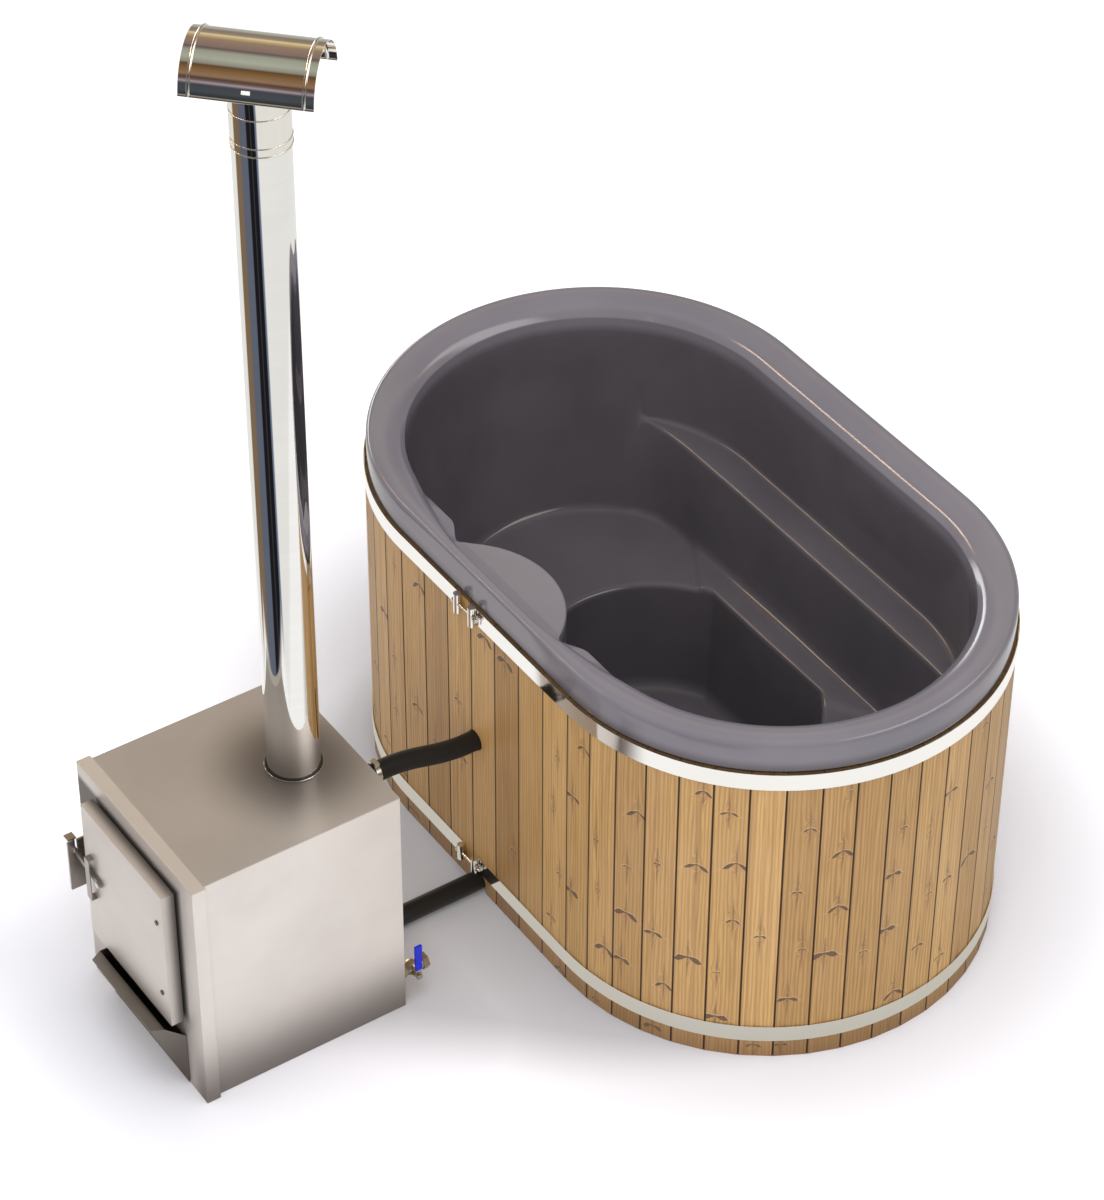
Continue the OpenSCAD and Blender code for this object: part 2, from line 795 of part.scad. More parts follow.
// Firebox: one welded box with a shelf for the grate and the ash chamber below it
module firebox() {
  x0 = stove_x - fire_half_w;
  x1 = stove_x + fire_half_w;
  y0 = frame_front + frame_plate;
  color("gray") difference() {
    block([x0, y0, casing_wall], [x1, fire_back, fire_top]);
    block([x0 + firebox_wall, y0 - cut, casing_wall + firebox_wall],
      [x1 - firebox_wall, fire_back - firebox_wall, grate_z]);
    block([x0 + firebox_wall, y0 - cut, grate_z + firebox_wall],
      [x1 - firebox_wall, fire_back - firebox_wall, fire_top - firebox_wall]);
    block([stove_x - grate_w / 2 + grate_rest, grate_y - grate_d / 2 + grate_rest, grate_z - cut],
      [stove_x + grate_w / 2 - grate_rest, grate_y + grate_d / 2 - grate_rest, grate_z + firebox_wall + cut]);
    translate([flue_x, flue_y, fire_top - 2 * firebox_wall])
      cylinder(d = flue_spigot_d + 2 * run_gap, h = 4 * firebox_wall);
  }
}
module grate() {
  pitch = (grate_w - grate_frame) / grate_bars;
  slot = pitch * grate_bar_share;
  color("darkslategray") translate([stove_x, grate_y, grate_z + firebox_wall]) difference() {
    block([-grate_w / 2, -grate_d / 2, 0], [grate_w / 2, grate_d / 2, grate_h]);
    for (i = [0 : grate_bars - 1])
      translate([-grate_w / 2 + grate_frame / 2 + (i + 0.5) * pitch - slot / 2,
          -grate_d / 2 + 2 * grate_frame, -cut])
        cube([slot, grate_d - 4 * grate_frame, grate_h + 2 * cut]);
  }
}

// Pipe stubs on the back of the stove that carry the two hoses
module stove_spigots() {
  color("silver") for (port = [[outlet_x, flow_z], [return_x, return_z]])
    translate([port[0], 0, port[1]])
      tube_y(spigot_d / 2, spigot_d / 2 - pipe_bore_wall, stove_back - spigot_root, stove_back + spigot_len);
}

// Flue outlet, its sealing collar and the chimney pipe that slips over it
module flue_spigot() {
  color("gray") translate([flue_x, flue_y, fire_top - firebox_wall]) difference() {
    cylinder(d = flue_spigot_d, h = jacket + firebox_wall + flue_up);
    translate([0, 0, -cut])
      cylinder(d = flue_spigot_d - 2 * flue_spigot_wall, h = jacket + firebox_wall + flue_up + 2 * cut);
  }
}
module flue_collar() {
  color("black") translate([flue_x, flue_y, casing_h]) difference() {
    cylinder(d = pipe_d + 2 * collar_w, h = collar_h);
    translate([0, 0, -cut]) cylinder(d = flue_spigot_d + 2 * seat_gap, h = collar_h + 2 * cut);
  }
}
module chimney_pipe() {
  pipe_z = casing_h + collar_h;
  color("silver") translate([flue_x, flue_y, pipe_z]) difference() {
    cylinder(d = pipe_d, h = pipe_top - pipe_z);
    translate([0, 0, -cut]) cylinder(d = pipe_d - 2 * pipe_wall, h = pipe_top - pipe_z + 2 * cut);
  }
}

// Rain cap: half a barrel with two pressed beads and rolled lower edges
module rain_cap() {
  color("silver") translate([flue_x, flue_y, cap_z]) rotate(cap_turn) {
    rotate([90, 0, 90]) rotate(cap_start) rotate_extrude(angle = 180 - 2 * cap_start) {
      translate([cap_r - cap_sheet, -cap_length / 2]) square([cap_sheet, cap_length]);
      for (side = [-1, 1])
        translate([cap_r - cap_sheet / 2, side * (cap_length / 2 - cap_bead_in)]) circle(cap_bead_r);
    }
    for (side = [-1, 1])
      translate([0, side * (cap_r - cap_sheet / 2) * cos(cap_start), cap_trim])
        rod_x(cap_roll_r, -cap_length / 2, cap_length / 2);
  }
}

// Bracket of the rain cap: a sleeve over the pipe with two legs up to the crown
module rain_cap_bracket() {
  sleeve_in = pipe_d / 2 + run_gap;
  sleeve_out = sleeve_in + sleeve_t;
  crown = sqrt(pow(cap_r - cap_sheet, 2) - pow(leg_w / 2, 2)) - seat_gap;
  sleeve_z = pipe_top - sleeve_drop;
  color("silver") {
    translate([flue_x, flue_y, sleeve_z]) rotate_extrude() {
      translate([sleeve_in, 0]) square([sleeve_t, sleeve_h]);
      for (z = [sleeve_bead_r, sleeve_bead_gap, sleeve_bead_high, sleeve_h - sleeve_bead_r])
        translate([sleeve_out, z]) circle(sleeve_bead_r);
    }
    translate([flue_x, flue_y, 0]) rotate(cap_turn) for (side = [0, 1]) rotate(side * 180) {
      block([sleeve_in + sleeve_t / 2, -leg_w / 2, sleeve_z + sleeve_h - leg_root],
        [sleeve_out + leg_t, leg_w / 2, cap_z + crown]);
      block([sleeve_out, -leg_w / 2, cap_z + crown - leg_t],
        [sleeve_out + leg_foot, leg_w / 2, cap_z + crown]);
    }
  }
}

// Catch: a notched plate that stands out from the frame beside the door
module latch_catch() {
  slot_from = latch_front - catch_side;
  slot_to = latch_back + catch_side;
  color("gray") difference() {
    block([catch_x - catch_t / 2, latch_front - catch_side - catch_beyond, catch_bottom],
      [catch_x + catch_t / 2, frame_front, catch_top]);
    block([catch_x - catch_t, slot_from, catch_slot_z], [catch_x + catch_t, slot_to, catch_top + cut]);
  }
}

// Hinge arms: one bent section with a foot on the frame, a slanting arm and a barrel round the pin
module hinge_arms() {
  foot_y = hinge_out - hinge_foot_t;
  arm_run = sqrt(hinge_foot_in * hinge_foot_in + foot_y * foot_y);
  color("gray") for (z = [hinge_z_low, hinge_z_high])
    translate([hinge_x, hinge_y, z - hinge_arm_h / 2]) linear_extrude(hinge_arm_h) difference() {
      union() {
        circle(hinge_r);
        rotate(atan2(foot_y, -hinge_foot_in)) translate([0, -hinge_arm_t / 2]) square([arm_run, hinge_arm_t]);
        translate([-hinge_foot_in - hinge_foot_w / 2, foot_y]) square([hinge_foot_w, hinge_foot_t]);
      }
      circle(hinge_pin_d / 2 + run_gap);
    }
}

// Rivet heads in the frame above the door
module frame_rivets() {
  color("gray") for (x = [door_x0 + rivet_left, door_x1 - rivet_right])
    translate([x, 0, door_z + door_h + rivet_up]) rod_y(rivet_r, frame_front - rivet_t, frame_front);
}

// Door tray: a folded sheet front with edges all round
module door_tray() {
  color("lightgray") difference() {
    block([door_x0, door_front, door_z], [door_x1, door_back, door_z + door_h]);
    block([door_x0 + door_sheet, door_front + door_sheet, door_z + door_sheet],
      [door_x1 - door_sheet, door_back + cut, door_z + door_h - door_sheet]);
    for (z = [hinge_z_low, hinge_z_high])
      translate([door_x1 - door_bolt_in, 0, z])
        rod_y(door_bolt_d / 2 + run_gap, door_front - cut, door_front + door_sheet + cut);
    translate([latch_x, 0, latch_z])
      rod_y(latch_pin_d / 2 + run_gap, door_front - cut, door_front + door_sheet + cut);
  }
}

// Door liner: the insulated inner body that carries the rope seal
module door_liner() {
  x_half = mouth_w / 2 + liner_over;
  z_mid = mouth_z + mouth_h / 2;
  z_half = mouth_h / 2 + liner_over;
  color("darkgray") difference() {
    block([stove_x - x_half, door_front + door_sheet, z_mid - z_half],
      [stove_x + x_half, door_back - liner_back, z_mid + z_half]);
    translate([latch_x, 0, latch_z])
      rod_y(latch_head_d / 2 + loose_gap, door_front, door_front + door_sheet + 2 * latch_head_t);
  }
}
module door_gasket() {
  x_in = mouth_w / 2 + gasket_in;
  z_mid = mouth_z + mouth_h / 2;
  z_in = mouth_h / 2 + gasket_in;
  color("whitesmoke") difference() {
    block([stove_x - x_in - gasket_w, door_back - liner_back, z_mid - z_in - gasket_w],
      [stove_x + x_in + gasket_w, frame_front - seat_gap, z_mid + z_in + gasket_w]);
    block([stove_x - x_in, door_back - liner_back - cut, z_mid - z_in],
      [stove_x + x_in, frame_front, z_mid + z_in]);
  }
}

// Hinge leaves: a plate behind the door front with a knuckle above and below each arm
module hinge_leaves() {
  knuckle_from = hinge_arm_h / 2 + hinge_play;
  plate_y = door_front + door_sheet;
  color("gray") for (z = [hinge_z_low, hinge_z_high]) translate([0, 0, z]) {
    difference() {
      union() {
        block([hinge_x - leaf_w + hinge_r, plate_y, -knuckle_from - hinge_knuckle_h],
          [hinge_x + hinge_r, plate_y + leaf_t, knuckle_from + hinge_knuckle_h]);
        for (side = [0, 1]) mirror([0, 0, side]) {
          translate([hinge_x, hinge_y, knuckle_from]) cylinder(r = hinge_r, h = hinge_knuckle_h);
          block([hinge_x - leaf_lug / 2, plate_y, knuckle_from],
            [hinge_x + leaf_lug / 2, hinge_y, knuckle_from + hinge_knuckle_h]);
        }
      }
      for (side = [0, 1]) mirror([0, 0, side])
        translate([hinge_x, hinge_y, knuckle_from - cut])
          cylinder(d = hinge_pin_d + 2 * run_gap, h = hinge_knuckle_h + 2 * cut);
      translate([door_x1 - door_bolt_in, 0, 0])
        rod_y(door_bolt_d / 2 + run_gap, plate_y - cut, plate_y + leaf_t + cut);
    }
  }
}
module hinge_pins() {
  pin_half = hinge_arm_h / 2 + hinge_play + hinge_knuckle_h;
  color("silver") for (z = [hinge_z_low, hinge_z_high])
    translate([hinge_x, hinge_y, z - pin_half]) cylinder(d = hinge_pin_d, h = 2 * pin_half);
}

// Bolts that hold the hinge leaves to the door front, with their nuts
module door_bolts() {
  plate_y = door_front + door_sheet + leaf_t;
  color("gray") for (z = [hinge_z_low, hinge_z_high]) translate([door_x1 - door_bolt_in, 0, z]) {
    rod_y(door_bolt_d / 2, door_front - door_bolt_head_t, plate_y + 2 * door_bolt_head_t);
    rod_y(door_bolt_head / 2, door_front - door_bolt_head_t, door_front);
    translate([0, plate_y, 0]) rotate([-90, 0, 0]) difference() {
      hex_prism(door_bolt_head / 2, door_bolt_head_t);
      translate([0, 0, -cut]) cylinder(d = door_bolt_d + 2 * run_gap, h = door_bolt_head_t + 2 * cut);
    }
  }
}

// Guide: a strip bent like a staple over the latch lever
module latch_guide() {
  strip_back = latch_front - guide_play;
  x0 = guide_x - guide_w / 2;
  x1 = guide_x + guide_w / 2;
  color("lightgray") {
    block([x0, strip_back - guide_t, guide_low], [x1, strip_back, guide_high]);
    for (z = [guide_low, guide_high - guide_t])
      block([x0, strip_back, z], [x1, door_front, z + guide_t]);
  }
}

// Pivot: a shoulder bolt with a spacer collar behind the lever and a nut inside the door
module latch_pivot() {
  inner = door_front + door_sheet;
  color("gray") translate([latch_x, 0, latch_z]) {
    rod_y(latch_pin_d / 2, latch_front - latch_head_t, inner + latch_head_t);
    rod_y(latch_head_d / 2, latch_front - latch_head_t - run_gap, latch_front - run_gap);
    rod_y(latch_head_d / 2, latch_back + run_gap, door_front);
    rod_y(latch_head_d / 2, inner, inner + latch_head_t);
  }
}

// Latch lever: a flat bar from a round eye to an upturned tip with a bent finger tab
module latch_lever() {
  bar_end = latch_reach - latch_tip_w / 2;
  tip_x = -latch_reach;
  tip_low = bar_end * tan(latch_rise) - latch_bar / 2;
  color("lightgray") translate([latch_x, latch_front, latch_z]) difference() {
    union() {
      rotate([-90, 0, 0]) cylinder(d = latch_eye_d, h = latch_t);
      translate([0, latch_t, 0]) rotate([90, 0, 0]) linear_extrude(latch_t)
        polygon([[0, -latch_bar / 2], [0, latch_bar / 2],
          [tip_x + latch_tip_w, -(tip_x + latch_tip_w) * tan(latch_rise) + latch_bar / 2],
          [tip_x + latch_tip_w, latch_tip_up], [tip_x, latch_tip_up], [tip_x, tip_low]]);
      block([tip_x, -latch_tab + latch_t, latch_tip_up - latch_tab_t],
        [tip_x + latch_tab, latch_t, latch_tip_up]);
    }
    rod_y(latch_pin_d / 2 + run_gap, -cut, latch_t + cut);
  }
}

// Ash tray: folded sheet, open at the top and at the front
module ash_tray() {
  x0 = stove_x - tray_w / 2;
  x1 = stove_x + tray_w / 2;
  y0 = frame_front - hopper_gap;
  color("lightgray") difference() {
    block([x0, y0, tray_z], [x1, y0 + tray_d, tray_z + tray_h]);
    block([x0 + tray_sheet, y0 - cut, tray_z + tray_sheet],
      [x1 - tray_sheet, y0 + tray_d - tray_sheet, tray_z + tray_h + cut]);
  }
}

// Drawer front: a flared hopper with triangular cheeks and a lip to pull it by
module ash_hopper() {
  x0 = stove_x - hopper_w / 2;
  y0 = frame_front - hopper_gap;
  y1 = frame_front - hopper_out;
  y2 = y1 + hopper_lip_w;
  z2 = hopper_lip_z - hopper_lip_drop;
  color("lightgray") {
    for (x = [x0, x0 + hopper_w - tray_sheet])
      translate([x, 0, 0]) rotate([90, 0, 90]) linear_extrude(tray_sheet)
        polygon([[y0, hopper_z0], [y1, hopper_lip_z], [y2, z2], [y0, hopper_z1]]);
    translate([x0, 0, 0]) rotate([90, 0, 90]) linear_extrude(hopper_w)
      polygon([[y0, hopper_z0], [y1, hopper_lip_z], [y2, z2], [y2, z2 - tray_sheet],
        [y1 + tray_sheet, hopper_lip_z - tray_sheet], [y0, hopper_z0 + 2 * tray_sheet]]);
    difference() {
      block([x0, y0 - tray_sheet, hopper_z0], [x0 + hopper_w, y0, hopper_z1]);
      block([stove_x - tray_w / 2 + tray_sheet, y0 - 2 * tray_sheet, tray_z + tray_sheet],
        [stove_x + tray_w / 2 - tray_sheet, y0 + cut, tray_z + tray_h]);
    }
  }
}

// Drain valve: a turned body with a ball chamber, two hexagons and a side stem
module drain_valve_body() {
  body_root = stove_back - spigot_root;
  color("goldenrod") difference() {
    union() {
      translate([valve_x, 0, valve_z]) {
        rotate([-90, 0, 0]) rotate(180) rotate_extrude() {
          translate([0, body_root]) square([valve_r, spigot_root + valve_len]);
          intersection() {
            translate([0, valve_stem_y]) circle(valve_ball_r);
            translate([0, valve_stem_y - valve_ball_r]) square([valve_ball_r, 2 * valve_ball_r]);
          }
        }
        for (y = [stove_back + loose_gap, stove_back + valve_len - valve_hex_w])
          translate([0, y, 0]) rotate([-90, 0, 0]) hex_prism(valve_hex_r, valve_hex_w);
      }
      translate([valve_x, valve_stem_y, valve_z]) rod_x(valve_neck_r, 0, valve_stem_x - valve_x);
    }
    translate([valve_x, 0, valve_z])
      rod_y(valve_bore_r, body_root - cut, stove_back + valve_len + cut);
    translate([0, valve_stem_y, valve_z])
      rod_x(valve_stem_r + run_gap, valve_x + valve_bore_r + valve_stem_r, valve_stem_x + cut);
  }
}

// Valve lever with its stem and nut, and the moulded sleeve on its grip
module drain_valve_lever() {
  color("silver") translate([0, valve_stem_y, valve_z]) {
    rod_x(valve_stem_r, valve_x + valve_bore_r + valve_stem_r + seat_gap, valve_lever_x + valve_nut_t);
    translate([valve_lever_x + valve_lever_t, 0, 0]) rotate([0, 90, 0]) hex_prism(valve_nut_r, valve_nut_t);
    translate([valve_lever_x, 0, 0]) rotate([0, 90, 0]) cylinder(d = valve_lever_w, h = valve_lever_t);
    block([valve_lever_x, -valve_lever_w / 2, 0],
      [valve_lever_x + valve_lever_t, valve_lever_w / 2, valve_lever_len - sleeve_wrap]);
  }
}
module drain_lever_sleeve() {
  color("blue") translate([0, valve_stem_y, valve_z]) difference() {
    block([valve_lever_x - sleeve_wrap, -valve_lever_w / 2 - sleeve_wrap, sleeve_start],
      [valve_lever_x + valve_lever_t + sleeve_wrap, valve_lever_w / 2 + sleeve_wrap, valve_lever_len]);
    block([valve_lever_x - run_gap, -valve_lever_w / 2 - run_gap, sleeve_start - cut],
      [valve_lever_x + valve_lever_t + run_gap, valve_lever_w / 2 + run_gap,
        valve_lever_len - sleeve_wrap + run_gap]);
  }
}

tub_shell();
staves_stove_side();
staves_far_side();
staves_head_end();
staves_foot_end();
hoop_upper();
hoop_lower();
hoop_upper_bolt();
hoop_lower_bolt();
base_joists();
base_panel();
flow_fitting();
flow_fitting_nut();
return_elbow();
return_strainer();
hose_upper();
hose_lower();
hose_clamps();
stove_casing();
stove_front_frame();
firebox();
grate();
stove_spigots();
flue_spigot();
flue_collar();
chimney_pipe();
rain_cap();
rain_cap_bracket();
latch_catch();
hinge_arms();
frame_rivets();
door_tray();
door_liner();
door_gasket();
hinge_leaves();
hinge_pins();
door_bolts();
latch_guide();
latch_pivot();
latch_lever();
ash_tray();
ash_hopper();
drain_valve_body();
drain_valve_lever();
drain_lever_sleeve();
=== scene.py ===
import json
import math
import bpy
from mathutils import Matrix, Vector


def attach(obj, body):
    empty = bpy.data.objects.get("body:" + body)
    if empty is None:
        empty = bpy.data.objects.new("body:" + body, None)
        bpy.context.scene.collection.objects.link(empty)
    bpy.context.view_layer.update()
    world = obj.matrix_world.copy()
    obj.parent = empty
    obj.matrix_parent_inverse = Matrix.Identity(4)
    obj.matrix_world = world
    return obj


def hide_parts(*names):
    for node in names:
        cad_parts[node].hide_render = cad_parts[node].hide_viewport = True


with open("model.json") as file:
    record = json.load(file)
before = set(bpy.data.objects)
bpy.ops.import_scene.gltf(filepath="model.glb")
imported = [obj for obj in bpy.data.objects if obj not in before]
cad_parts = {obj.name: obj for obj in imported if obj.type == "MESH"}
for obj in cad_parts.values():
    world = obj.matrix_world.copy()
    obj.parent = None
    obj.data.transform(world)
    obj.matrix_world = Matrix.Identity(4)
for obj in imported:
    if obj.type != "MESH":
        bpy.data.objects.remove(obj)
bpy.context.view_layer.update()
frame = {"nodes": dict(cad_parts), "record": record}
record = frame["record"]
body_of = {node: body for body, names in record["behaviour"]["bodies"].items() for node in names}


# ---- The studio: a long lens looks down on the tub from its far corner, under an even pale dome.
# Bare polished steel shows what stands round it, so the dome has a few dim strips and three
# lamps that only steel and gloss pick up, and plain even light for everything else.

def tool(tree, kind, given=None, **settings):
    made = tree.nodes.new(kind)
    for name, value in settings.items():
        setattr(made, name, value)
    for name, value in (given or {}).items():
        if isinstance(value, bpy.types.NodeSocket):
            tree.links.new(value, made.inputs[name])
        else:
            made.inputs[name].default_value = value
    return made


def sums(tree, operation, *terms):
    made = tree.nodes.new("ShaderNodeMath")
    made.operation = operation
    for socket, term in zip(made.inputs, terms):
        if isinstance(term, bpy.types.NodeSocket):
            tree.links.new(term, socket)
        else:
            socket.default_value = term
    return made.outputs[0]


def total(tree, first, *rest):
    for term in rest:
        first = sums(tree, "ADD", first, term)
    return first


def product(tree, first, *rest):
    for term in rest:
        first = sums(tree, "MULTIPLY", first, term)
    return first


def less(tree, value, taken):
    return sums(tree, "SUBTRACT", value, taken)


def apart(tree, value, centre):
    return sums(tree, "ABSOLUTE", less(tree, value, centre))


def reach(tree, along, across):
    return sums(tree, "SQRT", total(tree, sums(tree, "POWER", along, 2.0), sums(tree, "POWER", across, 2.0)))


def fade(tree, value, low, high, start=0.0, end=1.0):
    made = tool(tree, "ShaderNodeMapRange", interpolation_type="SMOOTHSTEP")
    tree.links.new(value, made.inputs[0])
    for index, number in zip((1, 2, 3, 4), (low, high, start, end)):
        made.inputs[index].default_value = number
    return made.outputs[0]


def band(tree, value, centre, inner, outer):
    return fade(tree, apart(tree, value, centre), inner, outer, 1.0, 0.0)


def blended(tree, factor, first, second, how="MIX"):
    made = tool(tree, "ShaderNodeMix", data_type="RGBA", blend_type=how)
    for index, value in ((0, factor), (6, first), (7, second)):
        if isinstance(value, bpy.types.NodeSocket):
            tree.links.new(value, made.inputs[index])
        else:
            made.inputs[index].default_value = value if index == 0 else (*value, 1.0)
    return made.outputs[2]


def strip_card(tree, place, stops):
    card = tool(tree, "ShaderNodeValToRGB", {"Fac": place})
    ramp = card.color_ramp
    while len(ramp.elements) > 1:
        ramp.elements.remove(ramp.elements[-1])
    for number, (degrees, colour) in enumerate(stops):
        where = degrees / 360 + 0.5
        stop = ramp.elements[0] if number == 0 else ramp.elements.new(where)
        stop.position = where
        stop.color = (*colour, 1.0)
    return card.outputs["Color"]


def turned(tree, up, along):
    return total(tree, sums(tree, "DIVIDE", sums(tree, "ARCTAN2", up, along), 2 * math.pi), 0.5)


def toward(tree, first, first_share, second, second_share):
    return total(tree, product(tree, first, first_share), product(tree, second, second_share))


camera_data = bpy.data.cameras.new("camera")
camera_data.lens = 119.852
camera_data.sensor_width = 36.0
camera = bpy.data.objects.new("camera", camera_data)
bpy.context.collection.objects.link(camera)
camera.matrix_world = Matrix(((0.559356, -0.539052, 0.629718, 5.61224),
                              (0.828921, 0.360696, -0.427538, -4.16945),
                              (0.003329, 0.761132, 0.648588, 6.59412),
                              (0.0, 0.0, 0.0, 1.0)))
bpy.context.scene.camera = camera
bpy.context.scene.view_settings.view_transform = "Standard"

studio = bpy.data.worlds.new("studio")
bpy.context.scene.world = studio
studio.use_nodes = True
dome = studio.node_tree
ray = tool(dome, "ShaderNodeLightPath").outputs
way = tool(dome, "ShaderNodeSeparateXYZ",
           {"Vector": tool(dome, "ShaderNodeTexCoord").outputs["Generated"]}).outputs

# Upright steel shows the strips that stand round the floor, each at its bearing in degrees.
pale, warm, slate = (0.86, 0.85, 0.81), (0.22, 0.145, 0.085), (0.12, 0.135, 0.18)
black, blue = (0.012, 0.012, 0.014), (0.16, 0.20, 0.29)
low_dome = strip_card(dome, turned(dome, way["Y"], way["X"]), [
    (-180, pale), (-148, pale), (-143, warm), (-118, warm), (-112, slate), (-86, slate), (-82, black),
    (-70, black), (-68, (0.05, 0.05, 0.055)), (-64, black), (-52, black), (-50, blue), (-46, blue),
    (-43, pale), (180, pale)])

# The rain cap lies level, so it shows strips that lie along it, each at its pitch in degrees.
camera_side = math.radians(-45.7)
to_camera = toward(dome, way["X"], math.cos(camera_side), way["Y"], math.sin(camera_side))
high_dome = strip_card(dome, turned(dome, way["Z"], to_camera), [
    (-32, (0.46, 0.46, 0.38)), (-21, (0.40, 0.41, 0.34)), (-18, (0.075, 0.085, 0.095)),
    (7, (0.06, 0.07, 0.085)), (10, (0.20, 0.16, 0.18)), (13, (0.42, 0.35, 0.39)),
    (18, (0.16, 0.11, 0.11)), (24, (0.10, 0.055, 0.03)), (30, (0.30, 0.19, 0.12)),
    (44, (0.24, 0.13, 0.05)), (55, (0.12, 0.07, 0.035)), (59, (0.30, 0.29, 0.23)),
    (72, (0.44, 0.46, 0.38)), (90, (0.36, 0.37, 0.29)), (99, (0.14, 0.10, 0.10)),
    (104, (0.26, 0.18, 0.16)), (128, (0.34, 0.24, 0.16)), (138, (0.62, 0.46, 0.22)),
    (144, (0.80, 0.68, 0.44)), (150, (0.36, 0.27, 0.17)), (165, (0.24, 0.21, 0.17)),
    (180, (0.5, 0.48, 0.46))])
low_dome_ends, high_dome_starts = -0.42, -0.12
seen_in_steel = blended(dome, fade(dome, way["Z"], low_dome_ends, high_dome_starts), low_dome, high_dome)

# A warm tube hangs high on the left, with a low window past it and a soft one at the far end.
tube_light, window_light, soft_window_light = (15.0, 10.4, 6.5), (6.0, 6.0, 6.0), (3.6, 3.4, 3.2)
lowest_tube, shown_once = 0.1, 1.5
tube_lean = toward(dome, way["Y"], 0.736, way["Z"], 0.677)
tube = product(dome, band(dome, tube_lean, 0.0, 0.025, 0.055), band(dome, way["X"], -0.63, 0.12, 0.28),
               sums(dome, "GREATER_THAN", way["Z"], lowest_tube),
               sums(dome, "LESS_THAN", ray["Glossy Depth"], shown_once))
window_high, window_edge = 0.09, (0.06, 0.14)
window = product(dome, band(dome, way["Z"], window_high, *window_edge),
                 fade(dome, way["X"], -0.98, -0.90, 1.0, 0.0))
soft_window_high, soft_window_edge = 0.60, (0.08, 0.22)
soft_window = product(dome, band(dome, way["Z"], soft_window_high, *soft_window_edge),
                      fade(dome, toward(dome, way["Y"], 0.60, way["X"], 0.80), 0.55, 0.72))
lights = blended(dome, tube, (0.0, 0.0, 0.0), tube_light)
lights = blended(dome, window, lights, window_light, "ADD")
lights = blended(dome, soft_window, lights, soft_window_light, "ADD")
seen_in_steel = blended(dome, 1.0, seen_in_steel, lights, "ADD")

even_light, white_backdrop = (0.64, 0.64, 0.64), (1.0, 1.0, 1.0)
seen = blended(dome, ray["Is Camera Ray"], even_light, white_backdrop)
mirror_ray = sums(dome, "MAXIMUM", ray["Is Glossy Ray"], ray["Is Transmission Ray"])
dome.links.new(blended(dome, mirror_ray, seen, seen_in_steel), dome.nodes["Background"].inputs["Color"])


def square_lamp(name, size, watts, place):
    data = bpy.data.lights.new(name, "AREA")
    data.shape = "SQUARE"
    data.size = size
    data.energy = watts
    lamp = bpy.data.objects.new(name, data)
    lamp.matrix_world = place
    lamp.visible_glossy = False
    bpy.context.collection.objects.link(lamp)


square_lamp("soft_box", 4.5, 150.0, Matrix.Translation((1.2, -0.8, 5.2)))
fill_aim = Vector((4.6, -3.2, 2.5)).to_track_quat("Z", "Y").to_matrix().to_4x4()
square_lamp("fill_box", 4.0, 85.0, Matrix.Translation((4.6, -3.6, 3.0)) @ fill_aim)

# The floor is plain pale paint, a hair below the tub, with painted shade in the nook between
# tub and stove. Far from them a camera-only glow lifts it to white, and the glow falls away near
# them, painting wider shade; steel sees only the part of it that is near, with painted shadow.
floor_size, floor_drop = 60.0, 0.0006
bpy.ops.object.select_all(action="DESELECT")
bpy.ops.mesh.primitive_plane_add(size=floor_size, location=(0, 0, -floor_drop))
floor = bpy.context.active_object
floor.name = "floor"
floor_paint = bpy.data.materials.new("floor_paint")
floor_paint.use_nodes = True
tree = floor_paint.node_tree
ray = tool(tree, "ShaderNodeLightPath").outputs
paint = tree.nodes["Principled BSDF"]
paint.inputs["Roughness"].default_value = 0.9
paint.inputs["Specular IOR Level"].default_value = 0.0
half_straight, stave_radius = 0.335, 0.545
stove_middle, stove_half = (-0.04, -1.15), (0.25, 0.26)
spot = tool(tree, "ShaderNodeSeparateXYZ",
            {"Vector": tool(tree, "ShaderNodeTexCoord").outputs["Object"]}).outputs
past_end = sums(tree, "MAXIMUM", less(tree, apart(tree, spot["X"], 0.0), half_straight), 0.0)
from_tub = less(tree, reach(tree, past_end, spot["Y"]), stave_radius)
from_stove = sums(tree, "MAXIMUM", less(tree, apart(tree, spot["X"], stove_middle[0]), stove_half[0]),
                  less(tree, apart(tree, spot["Y"], stove_middle[1]), stove_half[1]))
# Painted shade: the floor paint darkens in the nook between the tub and the stove.
nook_edge, nook_shade_paint, open_paint, cooler = (0.28, 0.66), 0.52, 0.88, 1.06
painted_nook_shade = fade(tree, total(tree, from_tub, sums(tree, "MAXIMUM", from_stove, 0.0)), *nook_edge,
            nook_shade_paint, open_paint)
tree.links.new(tool(tree, "ShaderNodeCombineColor",
                    {"Red": painted_nook_shade, "Green": painted_nook_shade, "Blue": product(tree, painted_nook_shade, cooler)}).outputs[0],
               paint.inputs["Base Color"])
# The camera-only glow whitens the open floor and falls away near the tub and stove, painting a wider shade
# round them.
glow_edge, near_glow, open_glow = (0.05, 0.75), 0.02, 0.45
white_glow_with_painted_shade = fade(tree, sums(tree, "MINIMUM", from_tub, from_stove), *glow_edge, near_glow, open_glow)
glow = tool(tree, "ShaderNodeEmission", {"Strength": product(tree, ray["Is Camera Ray"], white_glow_with_painted_shade)})
lit = tool(tree, "ShaderNodeAddShader")
tree.links.new(paint.outputs[0], lit.inputs[0])
tree.links.new(glow.outputs[0], lit.inputs[1])
clear = tool(tree, "ShaderNodeBsdfTransparent")
tub_mirror_edge, stove_mirror_edge = (1.05, 1.25), (0.55, 0.75)
near_floor = sums(tree, "MAXIMUM", fade(tree, from_tub, *tub_mirror_edge, 1.0, 0.0),
                  fade(tree, from_stove, *stove_mirror_edge, 1.0, 0.0))
